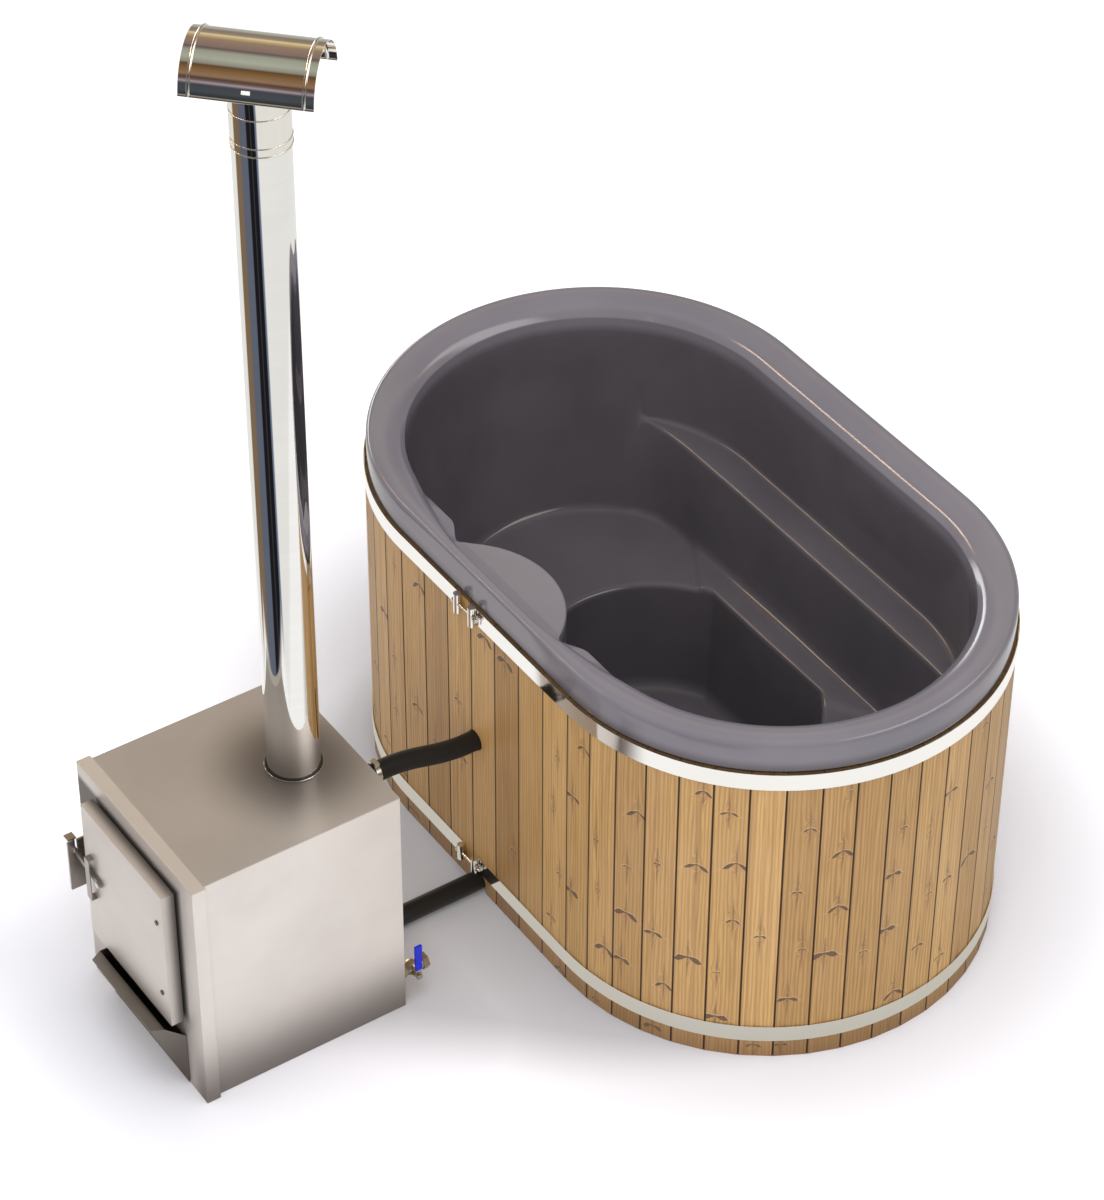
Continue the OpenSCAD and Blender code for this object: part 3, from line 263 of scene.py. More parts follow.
# Painted shadow: in steel the near floor shows as a glow, darkened by the stove and by the tub.
painted_shadow_by_stove, painted_shadow_by_tub, open_tone = (0.20, 0.165, 0.15), (0.58, 0.55, 0.49), (1.0, 0.985, 0.96)
stove_shade_edge, tub_shade_edge = (0.0, 0.30), (0.05, 0.35)
floor_in_steel_painted_shadow = blended(tree, fade(tree, from_stove, *stove_shade_edge), painted_shadow_by_stove, open_tone)
floor_in_steel_painted_shadow = blended(tree, fade(tree, from_tub, *tub_shade_edge), painted_shadow_by_tub, floor_in_steel_painted_shadow)
shine = tool(tree, "ShaderNodeEmission", {"Color": floor_in_steel_painted_shadow})
mirrored = tool(tree, "ShaderNodeMixShader", {"Fac": near_floor})
tree.links.new(clear.outputs[0], mirrored.inputs[1])
tree.links.new(shine.outputs[0], mirrored.inputs[2])
shown = tool(tree, "ShaderNodeMixShader", {"Fac": ray["Is Glossy Ray"]})
tree.links.new(lit.outputs[0], shown.inputs[1])
tree.links.new(mirrored.outputs[0], shown.inputs[2])
tree.links.new(shown.outputs[0], tree.nodes["Material Output"].inputs["Surface"])
floor.data.materials.append(floor_paint)


# ---- Joists and bottom panel: sawn softwood bearers under the tub, and a round-ended plywood
# sheet that the shell stands on. They are cut square and screwed together from above.

def finish(name, roughness=0.5, metallic=0.0):
    made = bpy.data.materials.new(name)
    made.use_nodes = True
    shader = made.node_tree.nodes["Principled BSDF"]
    shader.inputs["Roughness"].default_value = roughness
    shader.inputs["Metallic"].default_value = metallic
    return made, made.node_tree, shader


def here(tree):
    return tool(tree, "ShaderNodeTexCoord").outputs["Object"]


def spot_on(tree):
    return tool(tree, "ShaderNodeSeparateXYZ", {"Vector": here(tree)}).outputs


def scaled(tree, vector, scale):
    return tool(tree, "ShaderNodeMapping", {"Vector": vector, "Scale": scale}).outputs[0]


def stretched(tree, scale):
    return scaled(tree, here(tree), scale)


def speckle(tree, vector, scale, detail=3.0, roughness=0.55, distortion=0.0):
    return tool(tree, "ShaderNodeTexNoise", {"Vector": vector, "Scale": scale, "Detail": detail,
                                             "Roughness": roughness, "Distortion": distortion}).outputs["Fac"]


def coloured(tree, shader, colour):
    tree.links.new(colour, shader.inputs["Base Color"])


def relief(tree, shader, height, distance):
    bump = tool(tree, "ShaderNodeBump", {"Height": height, "Distance": distance})
    tree.links.new(bump.outputs[0], shader.inputs["Normal"])


def keep(node, look):
    mesh = frame["nodes"][node].data
    mesh.materials.clear()
    mesh.materials.append(look)


def sawn_timber(name, light, dark, scale):
    look, tree, shader = finish(name, 0.8)
    grain = speckle(tree, stretched(tree, scale), 6.0, 5.0, 0.65, 0.6)
    coloured(tree, shader, blended(tree, grain, dark, light))
    relief(tree, shader, grain, 0.0006)
    return look


keep("base_joists", sawn_timber("sawn_joist_wood", (0.42, 0.40, 0.22), (0.20, 0.17, 0.09), (1, 14, 14)))
keep("base_panel", sawn_timber("plywood", (0.66, 0.50, 0.32), (0.45, 0.31, 0.17), (2, 10, 40)))


# ---- Staves: fifty-eight planed and oiled boards of heat-treated pine, stood on end round the shell.
# Every board has its own tone and grain, and the winged knots that branches leave in thin stems.

boards_side, boards_end = 7, 22
board_pitch_side = 2 * half_straight / boards_side
board_pitch_end = 2 * stave_radius * math.sin(math.pi / boards_end / 2)
boards_apart = 31.0
knot_row_high = 0.17
knotless_share = 0.45
knot_smallest, knot_growth = 0.006, 0.058
stave_top, darker_foot_high, joint_edge = 0.8604, 0.13, (0.0013, 0.0034)


def oiled_pine(name, end):
    look, tree, shader = finish(name, 0.5)
    spot = spot_on(tree)
    if end:
        outward = less(tree, product(tree, spot["X"], end), half_straight)
        turn = total(tree, sums(tree, "ARCTAN2", spot["Y"], outward), math.pi / 2)
        steps = sums(tree, "DIVIDE", turn, math.pi / boards_end)
        width = board_pitch_end
    else:
        steps = sums(tree, "DIVIDE", total(tree, spot["X"], half_straight), board_pitch_side)
        width = board_pitch_side
    board = total(tree, sums(tree, "FLOOR", steps), end * boards_apart)
    across = product(tree, sums(tree, "FRACT", steps), width)
    edge = sums(tree, "MINIMUM", across, less(tree, width, across))
    tone = tool(tree, "ShaderNodeTexWhiteNoise", {"W": board}, noise_dimensions="1D").outputs["Value"]

    # One knot at most stands in each row of a board, at a thrown place and of a thrown size.
    rows = total(tree, sums(tree, "DIVIDE", spot["Z"], knot_row_high), product(tree, tone, 3.7))
    pair = tool(tree, "ShaderNodeCombineXYZ", {"X": board, "Y": sums(tree, "FLOOR", rows), "Z": 3.0})
    thrown = tool(tree, "ShaderNodeTexWhiteNoise", {"Vector": pair.outputs[0]}, noise_dimensions="3D")
    dice = tool(tree, "ShaderNodeSeparateXYZ", {"Vector": thrown.outputs["Color"]}).outputs
    knot_x = product(tree, total(tree, product(tree, dice["X"], 0.6), 0.2), width)
    knot_z = total(tree, product(tree, dice["Y"], 0.5), 0.25)
    present = sums(tree, "GREATER_THAN", dice["Z"], knotless_share)
    size = total(tree, product(tree, less(tree, dice["Z"], knotless_share), knot_growth), knot_smallest)
    slope = total(tree, product(tree, dice["X"], 0.7), 0.15)
    side = less(tree, across, knot_x)
    rise = product(tree, less(tree, sums(tree, "FRACT", rows), knot_z), knot_row_high)
    wing = sums(tree, "ABSOLUTE", side)
    wobble = less(tree, speckle(tree, stretched(tree, (70, 70, 70)), 1.0, 3.0), 0.5)
    bow = total(tree, rise, product(tree, wing, slope), product(tree, wobble, 0.006))
    along_wing = sums(tree, "DIVIDE", wing, size)
    leaf = product(tree, fade(tree, along_wing, 0.0, 0.55, 0.25, 1.0),
                   fade(tree, along_wing, 0.6, 1.0, 1.0, 0.0))
    thick = product(tree, leaf, size, total(tree, product(tree, dice["Y"], 0.12), 0.15))
    in_leaf = fade(tree, less(tree, thick, sums(tree, "ABSOLUTE", bow)), -0.0008, 0.0012)
    knot = product(tree, in_leaf, present, fade(tree, along_wing, 0.95, 1.1, 1.0, 0.0))
    halo = product(tree, band(tree, bow, total(tree, thick, 0.0012), 0.0004, 0.0022),
                   fade(tree, along_wing, 0.9, 1.5, 1.0, 0.0), present)
    away = reach(tree, side, product(tree, rise, 0.42))
    near = product(tree, fade(tree, away, 0.003, 0.017, 1.0, 0.0), present)
    pith = product(tree, fade(tree, wing, 0.0005, 0.0035, 1.0, 0.0), band(tree, rise, 0.0, 0.02, 0.08),
                   present)

    # The year rings run up the board and bend round each knot.
    ring = total(tree, product(tree, across, less(tree, 1.0, near)),
                 product(tree, total(tree, away, 0.02), near))
    along = tool(tree, "ShaderNodeCombineXYZ", {"X": ring, "Y": product(tree, spot["Z"], 0.045),
                                                "Z": product(tree, board, 1.37)}).outputs[0]
    bands = tool(tree, "ShaderNodeTexWave", {"Vector": along, "Scale": 34.0, "Distortion": 7.0, "Detail": 2.0,
                                             "Detail Scale": 1.6, "Detail Roughness": 0.6},
                 wave_type="BANDS", bands_direction="X").outputs["Fac"]
    fibre = speckle(tree, scaled(tree, along, (900, 260, 1)), 1.0, 4.0)
    cloud = speckle(tree, stretched(tree, (9, 9, 3)), 1.0, 3.0)
    streak = speckle(tree, scaled(tree, along, (75, 14, 1)), 1.0, 2.0)
    wood = blended(tree, sums(tree, "POWER", bands, 1.6), (0.62, 0.375, 0.135), (0.44, 0.250, 0.080))
    wood = blended(tree, fade(tree, fibre, 0.42, 0.72, 0.0, 0.5), wood, (0.36, 0.19, 0.07))
    wood = blended(tree, fade(tree, cloud, 0.35, 0.75, 0.0, 0.35), wood, (0.62, 0.385, 0.18))
    shade = total(tree, product(tree, tone, 0.34), 0.78)
    board_tone = tool(tree, "ShaderNodeCombineColor", {
        "Red": shade, "Green": sums(tree, "POWER", shade, 1.15),
        "Blue": sums(tree, "POWER", shade, 1.3)}).outputs[0]
    wood = blended(tree, 1.0, wood, board_tone, "MULTIPLY")
    # The boards grow darker towards the foot.
    foot = fade(tree, spot["Z"], 0.0, darker_foot_high, 0.62, 0.0)
    # The board tops darken: partly end grain, partly painted shade under the rim's overhang.
    end_grain_and_shade = fade(tree, spot["Z"], stave_top - 0.0034, stave_top, 0.0, 0.8)
    joints_and_top_shade = sums(tree, "MAXIMUM", fade(tree, edge, *joint_edge, 0.94, 0.0), end_grain_and_shade)
    for amount, mark_and_shade_colour in ((fade(tree, streak, 0.48, 0.72, 0.0, 0.45), (0.33, 0.17, 0.07)),
                          (product(tree, near, 0.2), (0.34, 0.165, 0.065)),
                          (product(tree, pith, 0.6), (0.15, 0.08, 0.05)),
                          (product(tree, halo, 0.5), (0.72, 0.50, 0.26)),
                          (product(tree, knot, 0.84), (0.085, 0.045, 0.035)),
                          (foot, (0.16, 0.075, 0.03)),
                          (joints_and_top_shade, (0.032, 0.014, 0.007))):
        wood = blended(tree, amount, wood, mark_and_shade_colour)
    coloured(tree, shader, wood)
    relief(tree, shader, total(tree, product(tree, bands, -0.5), product(tree, fibre, 0.3)), 0.0005)
    return look


side_pine = oiled_pine("oiled_pine_side", 0)
keep("staves_stove_side", side_pine)
keep("staves_far_side", side_pine)
keep("staves_foot_end", oiled_pine("oiled_pine_foot_end", 1))
keep("staves_head_end", oiled_pine("oiled_pine_head_end", -1))


# ---- Hoops: two straps of mirror-bright stainless steel, drawn tight round the staves by a
# bolt through two barrels welded to each strap. The bolts are turned and left bright.

merge_gap = 0.00002
flat_angle = math.radians(0.3)


def bevelled(node, look, width, steps=2, turn=30):
    source = frame["nodes"][node]
    piece = bpy.data.objects.new(node + "_piece", source.data.copy())
    bpy.context.collection.objects.link(piece)
    bpy.ops.object.select_all(action="DESELECT")
    bpy.context.view_layer.objects.active = piece
    piece.select_set(True)
    bpy.ops.object.mode_set(mode="EDIT")
    bpy.ops.mesh.select_all(action="SELECT")
    bpy.ops.mesh.customdata_custom_splitnormals_clear()
    bpy.ops.mesh.remove_doubles(threshold=merge_gap)
    bpy.ops.mesh.dissolve_limited(angle_limit=flat_angle)
    bpy.ops.object.mode_set(mode="OBJECT")
    if width:
        corner = piece.modifiers.new("corner", "BEVEL")
        corner.width = width
        corner.segments = steps
        corner.limit_method = "ANGLE"
        corner.angle_limit = math.radians(turn)
        bpy.ops.object.modifier_apply(modifier="corner")
    bpy.ops.object.shade_smooth_by_angle(angle=math.radians(turn))
    flat = piece.modifiers.new("flat", "WEIGHTED_NORMAL")
    flat.keep_sharp = True
    bpy.ops.object.modifier_apply(modifier="flat")
    piece.data.materials.clear()
    piece.data.materials.append(look)
    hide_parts(node)
    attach(piece, body_of[node])
    return piece


def steel(name, colour, roughness, spread, scale, cloudy, tint=None, dent=0.00002):
    look, tree, shader = finish(name, roughness, 1.0)
    fine = speckle(tree, stretched(tree, scale), 1.0, 4.0, 0.7)
    cloud = speckle(tree, here(tree), 5.0, 3.0)
    tint = tint or tuple(c * 0.82 for c in colour)
    mix = total(tree, product(tree, fine, 0.4), product(tree, cloud, 0.6))
    coloured(tree, shader, blended(tree, fade(tree, mix, 0.35, 0.65), colour, tint))
    rough = total(tree, product(tree, less(tree, fine, 0.5), spread),
                  total(tree, product(tree, less(tree, cloud, 0.5), cloudy), roughness))
    tree.links.new(rough, shader.inputs["Roughness"])
    if dent:
        relief(tree, shader, fine, dent)
    return look


strap_steel = steel("polished_strap_steel", (0.93, 0.92, 0.90), 0.03, 0.01, (8, 8, 900), 0.02,
                    (0.90, 0.89, 0.87))
bright_steel = steel("bright_turned_steel", (0.74, 0.73, 0.71), 0.16, 0.08, (400, 400, 400), 0.06)
for node in ("hoop_upper", "hoop_lower"):
    bevelled(node, strap_steel, 0.0005)
for node in ("hoop_upper_bolt", "hoop_lower_bolt"):
    bevelled(node, bright_steel, 0.0006)


# ---- Shell: one glass-fibre moulding, sprayed glossy warm grey inside, that makes the rim, the
# arm rests, the half column on the stove side, the seats and the footwell in a single skin.
# It drops into the ring of staves and hangs on its rolled rim.

rim_top, apron_foot, rim_out, rim_in = 0.945, 0.866, 0.540, 0.450
wall_top, arm_top, seat_top, well_floor = 0.4483, 0.633, 0.400, 0.077
wall_foot, arm_in, seat_in = 0.436, 0.350, 0.320
column_middle, column_radius = 0.600, 0.232
arm_lift_end, arm_round, arm_fade, bay_open = 0.110, 0.018, (0.0010, 0.0130), 0.010
column_shoulder, shoulder_out, chord_half, chord_out = (0.195, 0.275), 0.032, 0.2, 0.468
tiny = 1e-6


def least(a, b, sharp=26):
    return (a ** -sharp + b ** -sharp) ** (-1 / sharp)


def line_point(column, radius, side, z, half=half_straight, squeeze=1.0, sharp=26):
    kind, value = column
    if kind == "side":
        t, sign = value
        return (t * half, sign * side, z)
    angle, sign = value
    angle *= squeeze
    out = least(radius, side / max(abs(math.sin(angle)), tiny), sharp) if side < radius - tiny else radius
    return (sign * (half + out * math.cos(angle)), out * math.sin(angle), z)


def bay_depth(x):
    bay_half, bay_slope, bay_deep, blur = 0.415, 0.25, 0.050, 0.0075
    near_by = [abs(x) + blur * k for k in range(-4, 5)]
    return bay_deep * sum(max(0.0, min(1.0, (bay_half - r) / bay_slope)) for r in near_by) / 9


def soft_step(value, low, high):
    t = max(0.0, min(1.0, (value - low) / (high - low)))
    return t * t * (3 - 2 * t)


def shell_corners(column):
    kind, value = column
    if kind == "side":
        x, stove = value[0] * half_straight, value[1] < 0
    else:
        x, stove = half_straight + rim_in * math.cos(value[0]), value[0] < 0
    bay = bay_depth(x) if stove else 0.0
    opened = min(1.0, bay / bay_open)
    shut = 1 - opened
    behind_column = stove and abs(x) < column_radius - 0.0005
    pillar = column_middle - math.sqrt(column_radius ** 2 - x * x) if behind_column else 9.0
    notch = wall_top + shoulder_out * (1 - soft_step(abs(x), *column_shoulder)) if stove else wall_top
    ledge = least(notch, pillar, 90)
    chord = max(ledge + 0.001, chord_out) if abs(x) < chord_half and stove else ledge + 0.001
    foot = least(wall_foot, pillar, 60)
    level = seat_top
    arm = arm_round
    lift = 0.0
    if kind == "end":
        level = seat_top - 0.010 * (1 - soft_step(abs(value[0]), math.radians(76), math.radians(84)))
        width = wall_foot - least(0.4354, arm_in / max(abs(math.sin(value[0])), tiny), 14)
        lift = arm_lift_end * (1 - soft_step(width, *arm_fade))
        arm = arm_round + 1.1 * lift / arm_lift_end
    squeeze = 64.6 / 90
    well, well_foot = ((0.252, 0.2117), (0.237, 0.2017)) if kind == "side" else ((0.9, 0.092), (0.9, 0.092))
    chord -= 0.0006 * shut
    ledge -= 0.0018 * shut
    return [
        (line_point(column, rim_out, rim_out, apron_foot), 0.0),
        (line_point(column, rim_out, rim_out, rim_top), 0.026 - 0.12 * bay),
        (line_point(column, 0.497 + 0.44 * bay, 0.497 + 0.44 * bay, rim_top), 0.2),
        (line_point(column, 0.466 + 0.88 * bay, 0.466 + 0.88 * bay, 0.930 + 0.06 * bay), 0.2),
        (line_point(column, rim_in + bay, rim_in + bay, 0.911), 0.008),
        (line_point(column, chord, chord, 0.880 + 0.0205 * opened), 0.006),
        (line_point(column, ledge, ledge, 0.860 + 0.040 * opened), 0.009),
        (line_point(column, wall_foot + 0.046 * lift, foot + 0.046 * lift, arm_top + lift), arm),
        (line_point(column, 0.4354 - 0.3045 * lift, arm_in, arm_top - lift, sharp=14), arm),
        (line_point(column, 0.362, seat_in, level), 0.030),
        (line_point(column, 0.279, well[0], level, well[1], squeeze), 0.018),
        (line_point(column, 0.264, well_foot[0], well_floor, well_foot[1], squeeze), 0.040),
        ((0.0, 0.0, well_floor), 0.0)]


def moulded_profile(column, run=(3, 1, 1, 1, 2, 2, 4, 2, 3, 3, 3, 4), bend=7):
    corner = [(Vector(p), r) for p, r in shell_corners(column)]
    points = [corner[0][0]]
    last = corner[0][0]
    for i in range(1, len(corner) - 1):
        before, at, after = corner[i - 1][0], corner[i][0], corner[i + 1][0]
        a, b = before - at, after - at
        la, lb = a.length, b.length
        if min(la, lb) < tiny / 10:
            start = end = at
        else:
            angle = math.pi - a.angle(b)
            leg = min(corner[i][1] * math.tan(min(angle, 2.6) / 2), 0.49 * la, 0.49 * lb)
            start, end = at + a / la * leg, at + b / lb * leg
        for k in range(1, run[i - 1] + 1):
            points.append(last.lerp(start, k / run[i - 1]))
        for k in range(1, bend + 1):
            u = k / bend
            points.append(start * (1 - u) ** 2 + at * 2 * u * (1 - u) + end * u * u)
        last = end
    for k in range(1, run[-1] + 1):
        points.append(last.lerp(corner[-1][0], k / run[-1]))
    return points


straight_steps, end_steps = 72, 92
columns = [("side", (2 * i / straight_steps - 1, -1)) for i in range(straight_steps)]
columns += [("end", (math.pi * (i / end_steps - 0.5), 1)) for i in range(end_steps)]
columns += [("side", (1 - 2 * i / straight_steps, 1)) for i in range(straight_steps)]
columns += [("end", (math.pi * (0.5 - i / end_steps), -1)) for i in range(end_steps)]
skin = [moulded_profile(c) for c in columns]
skin.append(skin[0])
rings = len(skin[0])
bpy.ops.object.select_all(action="DESELECT")
bpy.ops.mesh.primitive_grid_add(x_subdivisions=len(skin) - 1, y_subdivisions=rings - 1, size=1.0)
shell = bpy.context.active_object
shell.name = "moulded_shell"
for v in shell.data.vertices:
    i = round((v.co.x + 0.5) * (len(skin) - 1))
    j = round((v.co.y + 0.5) * (rings - 1))
    v.co = skin[i][j]
bpy.ops.object.mode_set(mode="EDIT")
bpy.ops.mesh.select_all(action="SELECT")
bpy.ops.mesh.remove_doubles(threshold=0.00005)
bpy.ops.object.mode_set(mode="OBJECT")
top = max(shell.data.polygons, key=lambda f: f.center.z)
if top.normal.z < 0:
    bpy.ops.object.mode_set(mode="EDIT")
    bpy.ops.mesh.select_all(action="SELECT")
    bpy.ops.mesh.flip_normals()
    bpy.ops.object.mode_set(mode="OBJECT")
wall = shell.modifiers.new("wall", "SOLIDIFY")
wall.thickness = 0.006
wall.offset = -1
bpy.ops.object.modifier_apply(modifier="wall")
bpy.ops.object.shade_smooth_by_angle(angle=math.radians(50))
gel_coat, tree, shader = finish("glossy_grey_moulding", 0.2)
orange_peel = speckle(tree, here(tree), 150.0, 2.0)
cloud = speckle(tree, here(tree), 3.0, 3.0)
uneven = fade(tree, cloud, 0.3, 0.7)
# Painted shade: the inside takes a darker copy of the grey than the rim, standing in for the deep bath's
# shade.
shaded_inside_grey = blended(tree, uneven, (0.106, 0.094, 0.104), (0.086, 0.077, 0.087))
lit_rim_grey = blended(tree, uneven, (0.198, 0.182, 0.206), (0.178, 0.164, 0.188))
on_rim = fade(tree, spot_on(tree)["Z"], 0.868, 0.897)
coloured(tree, shader, blended(tree, on_rim, shaded_inside_grey, lit_rim_grey))
tree.links.new(total(tree, product(tree, cloud, 0.05), 0.065), shader.inputs["Roughness"])
relief(tree, shader, orange_peel, 0.00004)
shell.data.materials.append(gel_coat)
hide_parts("tub_shell")
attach(shell, "root")


def rounded_edges(name, width, steps):
    piece = bpy.context.active_object
    piece.name = name
    bpy.ops.object.transform_apply(location=True, rotation=True, scale=True)
    bpy.ops.object.mode_set(mode="EDIT")
    bpy.ops.mesh.select_all(action="SELECT")
    bpy.ops.mesh.bevel(offset=width, segments=steps, affect="EDGES")
    bpy.ops.object.mode_set(mode="OBJECT")
    bpy.ops.object.shade_smooth_by_angle(angle=math.radians(40))
    return piece


# The boss is a thick round pad of the same moulding that the upper fitting is clamped to.
boss_radius, boss_thick, boss_place = 0.038, 0.022, (-0.034, -0.3335, 0.460)
bpy.ops.object.select_all(action="DESELECT")
bpy.ops.mesh.primitive_cylinder_add(vertices=64, radius=boss_radius, depth=boss_thick, location=boss_place,
                                    rotation=(math.radians(90), 0, 0))
boss = rounded_edges("fitting_boss", 0.003, 4)
boss.data.materials.append(gel_coat)
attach(boss, "root")


# ---- Water fittings: satin stainless fittings in the bath wall and floor, their nut and
# strainer, the clamps, and the pipe stubs on the stove that the hoses are pushed over.

satin_steel = steel("satin_fitting_steel", (0.66, 0.65, 0.63), 0.28, 0.1, (300, 300, 300), 0.08)
for node in ("flow_fitting", "flow_fitting_nut", "return_elbow", "return_strainer", "stove_spigots",
             "hose_clamps"):
    bevelled(node, satin_steel, 0.0004)


# ---- Hoses: two lengths of matt black rubber hose, cut to fit between the stove and the tub
# and held by the clamps. The upper one is bent a little to meet the wall fitting.

rubber, tree, shader = finish("matt_black_rubber", 0.62)
grit = speckle(tree, here(tree), 420.0, 4.0, 0.7)
dust = speckle(tree, here(tree), 14.0, 3.0)
coloured(tree, shader, blended(tree, fade(tree, dust, 0.45, 0.8, 0.0, 0.5),
                               (0.006, 0.0055, 0.0055), (0.018, 0.0165, 0.016)))
relief(tree, shader, grit, 0.0003)
for node in ("hose_upper", "hose_lower"):
    bevelled(node, rubber, 0.0)


# ---- Stove body: bead-blasted stainless sheet, folded and welded, with a folded frame round
# the front. The firebox inside is plate, heat-stained and sooty, and the grate is cast iron.
# Painted shade darkens the sheet where the pipe, the door, the folds and the floor take the light from it.

pipe_x, pipe_y = -0.021, -1.026
stove_top, frame_back, frame_front, door_front = 0.6455, -1.3835, -1.422, -1.452
door_top, door_side, door_shade_edge = 0.593, 0.1375, (0.002, 0.026)
pipe_halo, floor_shade_high, lip_edge = (0.06, 0.24), 0.21, (0.0648, 0.0652)
hair = 0.0005


def from_pipe_on(tree):
    spot = spot_on(tree)
    return reach(tree, less(tree, spot["X"], pipe_x), less(tree, spot["Y"], pipe_y))


blasted = steel("bead_blasted_steel", (0.90, 0.85, 0.82), 0.50, 0.08, (900, 900, 900), 0.06,
                (0.84, 0.79, 0.76), 0.00003)
tree = blasted.node_tree
shader = tree.nodes["Principled BSDF"]
shader.inputs["Metallic"].default_value = 0.75
spot = spot_on(tree)
# Painted shade: the top darkens, most round the pipe; the right face darkens near the floor; a dark line runs
# where the frame meets the casing; the door's flanges and the frame beside the door darken where they meet.
on_top = product(tree, fade(tree, spot["Z"], stove_top - 0.0045, stove_top),
                 fade(tree, spot["Y"], frame_back - 0.0025, frame_back - hair, 0.25, 1.0))
top_and_pipe_shade = product(tree, on_top, fade(tree, from_pipe_on(tree), *pipe_halo, 0.86, 0.36))
painted_shade_at_floor = product(tree, fade(tree, spot["Z"], 0.0, floor_shade_high, 0.58, 0.0),
                   fade(tree, spot["X"], 0.15, 0.2))
crease_shade = fade(tree, apart(tree, spot["Y"], frame_back), hair, 0.003, 0.35, 0.0)
on_door = fade(tree, spot["Y"], frame_front - hair, frame_front + hair, 1.0, 0.0)
on_edge = sums(tree, "MAXIMUM", fade(tree, spot["Z"], door_top - 0.0045, door_top - hair),
               fade(tree, spot["X"], door_side - 0.004, door_side - hair))
to_frame = fade(tree, spot["Y"], door_front, -1.424, 0.12, 0.86)
door_edge_shade = product(tree, on_door, product(tree, on_edge, to_frame))
past_door = sums(tree, "MAXIMUM", less(tree, spot["Z"], door_top), less(tree, spot["X"], door_side))
on_frame = product(tree, fade(tree, spot["Y"], frame_front - hair, frame_front + hair),
                   fade(tree, spot["Y"], -1.4175, -1.4165, 1.0, 0.0))
shade_beside_door = product(tree, on_frame, product(tree, fade(tree, past_door, *door_shade_edge, 0.85, 0.0),
                                              fade(tree, spot["Z"], 0.19, 0.23)))
tone = top_and_pipe_shade
for shade in (painted_shade_at_floor, crease_shade, door_edge_shade, shade_beside_door):
    tone = sums(tree, "MAXIMUM", tone, shade)
bare = shader.inputs["Base Color"].links[0].from_socket
coloured(tree, shader, blended(tree, tone, bare, (0.105, 0.088, 0.078)))
for node in ("stove_casing", "stove_front_frame"):
    bevelled(node, blasted, 0.0015, 3)

sooty, tree, shader = finish("sooty_plate", 0.6, 0.7)
soot = speckle(tree, here(tree), 7.0, 5.0, 0.6)
coloured(tree, shader, blended(tree, fade(tree, soot, 0.35, 0.7), (0.22, 0.20, 0.19), (0.02, 0.018, 0.017)))
relief(tree, shader, soot, 0.001)
for node in ("firebox", "flue_spigot"):
    keep(node, sooty)
iron, tree, shader = finish("cast_iron", 0.75, 0.6)
sand = speckle(tree, here(tree), 160.0, 4.0, 0.7)
coloured(tree, shader, blended(tree, sand, (0.09, 0.085, 0.08), (0.03, 0.028, 0.026)))
relief(tree, shader, sand, 0.0008)
keep("grate", iron)

# The collar is a ring of black sealing paste with a bright lip of sheet round it.
seal_black, tree, shader = finish("black_seal")
lumps = speckle(tree, here(tree), 90.0, 3.0)
relief(tree, shader, lumps, 0.0008)
lip = fade(tree, from_pipe_on(tree), *lip_edge)
coloured(tree, shader, blended(tree, lip, (0.012, 0.012, 0.012), (0.75, 0.75, 0.73)))
tree.links.new(lip, shader.inputs["Metallic"])
tree.links.new(less(tree, 0.55, product(tree, lip, 0.4)), shader.inputs["Roughness"])
bevelled("flue_collar", seal_black, 0.0012, 3)


# ---- Fire door: a folded tray of the same sheet on two pinned hinges, with insulation under a
# steel cover behind it and a rope seal round the mouth. Its bolts are dull, its rivets bright.

bevelled("door_tray", blasted, 0.0015, 3)
liner = steel("liner_steel", (0.42, 0.39, 0.36), 0.45, 0.1, (200, 200, 200), 0.1)
bevelled("door_liner", liner, 0.001)
rope, tree, shader = finish("glass_rope", 0.9)
braid = tool(tree, "ShaderNodeTexWave", {"Vector": stretched(tree, (1, 1, 1)), "Scale": 90.0,
                                         "Distortion": 2.0}, bands_direction="DIAGONAL").outputs["Fac"]
coloured(tree, shader, blended(tree, braid, (0.34, 0.32, 0.28), (0.62, 0.60, 0.54)))
relief(tree, shader, braid, 0.0015)
keep("door_gasket", rope)
cut_steel = steel("cut_steel", (0.50, 0.47, 0.45), 0.32, 0.12, (300, 300, 300), 0.1)
for node in ("hinge_leaves", "hinge_arms", "latch_guide", "latch_catch", "latch_lever"):
    bevelled(node, cut_steel, 0.0006)
dull_bolt = steel("dull_bolt_steel", (0.20, 0.185, 0.175), 0.30, 0.1, (400, 400, 400), 0.06)
bevelled("door_bolts", dull_bolt, 0.0005)
for node in ("hinge_pins", "latch_pivot", "frame_rivets"):
    bevelled(node, bright_steel, 0.0005)


# ---- Ash drawer: a hopper-shaped front with an open top that lets air in, folded from sheet,
# in front of a plain open tray. The hopper's lip is narrower than its back, most on the left.

# The drawer takes a darker copy of the stove's bead-blasted sheet: painted shade.
blasted_painted_shade = steel("bead_blasted_steel_painted_shade", (0.38, 0.355, 0.335), 0.50, 0.08, (900, 900, 900), 0.08,
                     (0.34, 0.315, 0.30), 0.00003)
hopper_middle, hopper_half, hopper_back, hopper_deep = -0.04, 0.1775, -1.4205, 0.0785
left_in, left_in_at_lip, right_in_at_lip = 0.018, 0.058, 0.017
hopper = bevelled("ash_hopper", blasted_painted_shade, 0.0006)
for v in hopper.data.vertices:
    out = max(0.0, min(1.0, (hopper_back - v.co.y) / hopper_deep))
    left = max(0.0, (hopper_middle - v.co.x) / hopper_half)
    right = max(0.0, (v.co.x - hopper_middle) / hopper_half)
    v.co.x += left * (left_in + left_in_at_lip * out) - right_in_at_lip * right * out
bevelled("ash_tray", blasted_painted_shade, 0.0006)


# ---- Chimney: a length of mirror-polished stainless pipe with a half-round rain cap on a
# strapped sleeve.

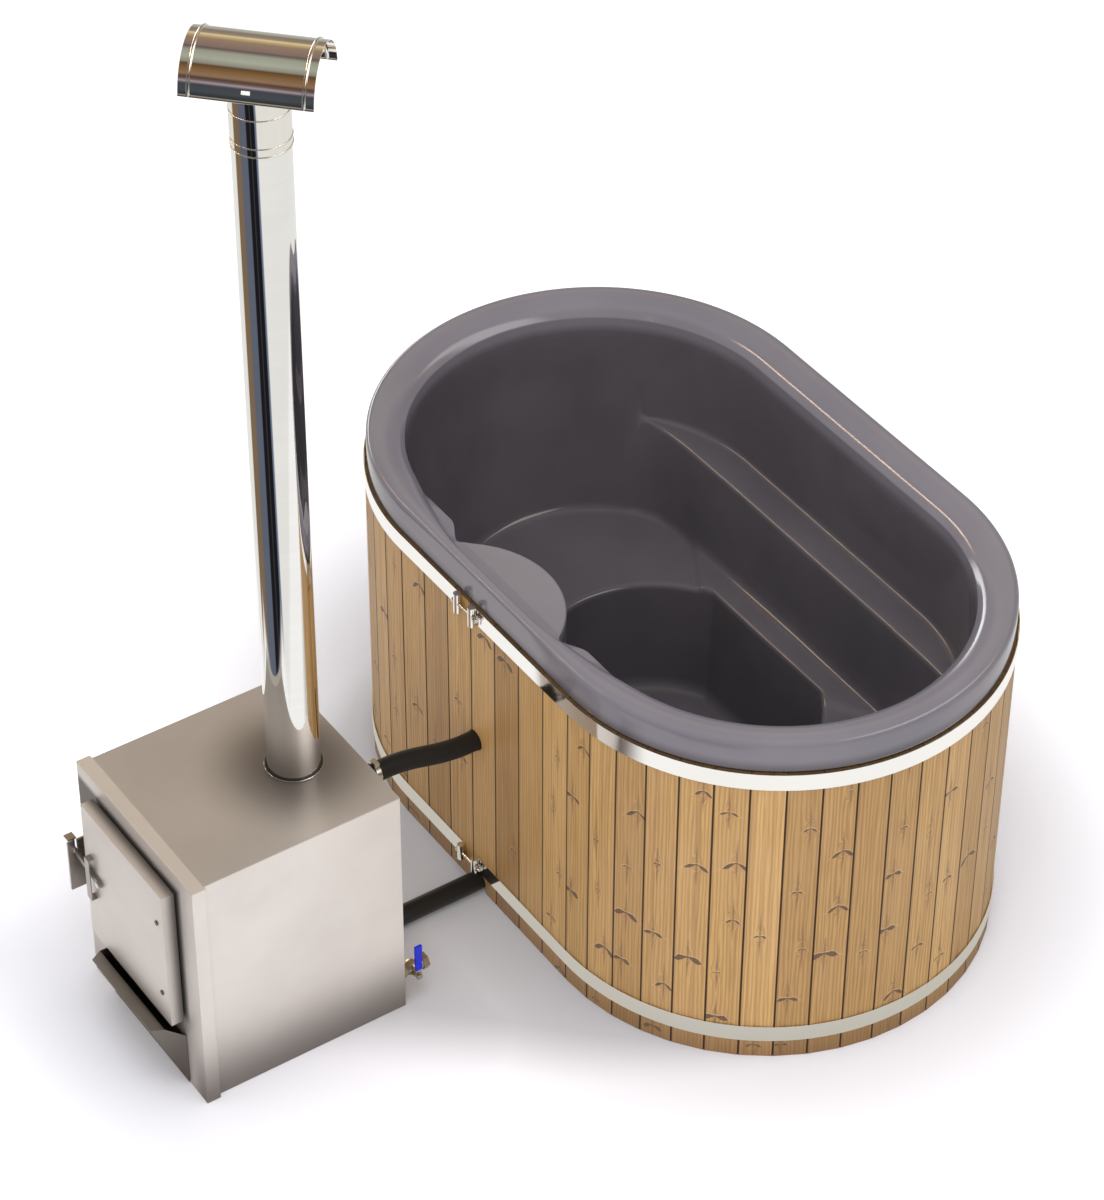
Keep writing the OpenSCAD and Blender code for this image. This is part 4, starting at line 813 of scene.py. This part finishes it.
mirror_pipe = steel("mirror_pipe_steel", (0.90, 0.90, 0.89), 0.035, 0.02, (6, 6, 60), 0.02,
                    (0.86, 0.86, 0.85), 0)
mirror_cap = steel("mirror_cap_steel", (0.88, 0.86, 0.83), 0.06, 0.03, (60, 60, 6), 0.03,
                   (0.82, 0.80, 0.77), 0)
bevelled("chimney_pipe", mirror_pipe, 0.0004)
bevelled("rain_cap", mirror_cap, 0.0, turn=55)
bevelled("rain_cap_bracket", mirror_cap, 0.0, turn=55)

# The bracket's strap ends in a small tab, pushed through the cap and folded flat on it; a painted highlight
# makes it bright.
tab_up, cap_turned = math.radians(16.7), math.radians(44.3)
cap_high, tab_out, tab_size = 2.415, 0.0924, (0.017, 0.0016, 0.0075)
tab_way = Vector((math.cos(tab_up) * math.sin(cap_turned), -math.cos(tab_up) * math.cos(cap_turned),
                  math.sin(tab_up)))
bpy.ops.object.select_all(action="DESELECT")
bpy.ops.mesh.primitive_cube_add(size=1.0, location=Vector((pipe_x, pipe_y, cap_high)) + tab_way * tab_out,
                                rotation=(-tab_up, 0, cap_turned), scale=tab_size)
strap_tab = rounded_edges("rain_cap_strap_tab", 0.0004, 2)
# Painted highlight: the tab's steel is given a pale, barely metallic finish, so it shows white from every
# side.
tab_painted_highlight = steel("tab_steel_painted_highlight", (0.92, 0.92, 0.90), 0.45, 0.05, (400, 400, 400), 0.05,
                  (0.86, 0.86, 0.84), 0)
tab_painted_highlight.node_tree.nodes["Principled BSDF"].inputs["Metallic"].default_value = 0.15
strap_tab.data.materials.append(tab_painted_highlight)
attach(strap_tab, body_of["rain_cap_bracket"])


# ---- Drain valve: a nickel-washed brass ball valve on the stove's flank, with a steel lever in
# a dipped blue vinyl sleeve.

brass, tree, shader = finish("nickel_washed_brass", 0.32, 1.0)
wash = speckle(tree, here(tree), 60.0, 4.0, 0.6)
coloured(tree, shader, blended(tree, fade(tree, wash, 0.4, 0.6), (0.62, 0.56, 0.38), (0.46, 0.42, 0.32)))
relief(tree, shader, wash, 0.0003)
bevelled("drain_valve_body", brass, 0.0006)
bevelled("drain_valve_lever", bright_steel, 0.0005)
vinyl, tree, shader = finish("dipped_blue_vinyl", 0.3)
skin_noise = speckle(tree, here(tree), 120.0, 2.0)
coloured(tree, shader, blended(tree, skin_noise, (0.0, 0.012, 0.50), (0.002, 0.022, 0.66)))
relief(tree, shader, skin_noise, 0.0003)
bevelled("drain_lever_sleeve", vinyl, 0.0012, 3)
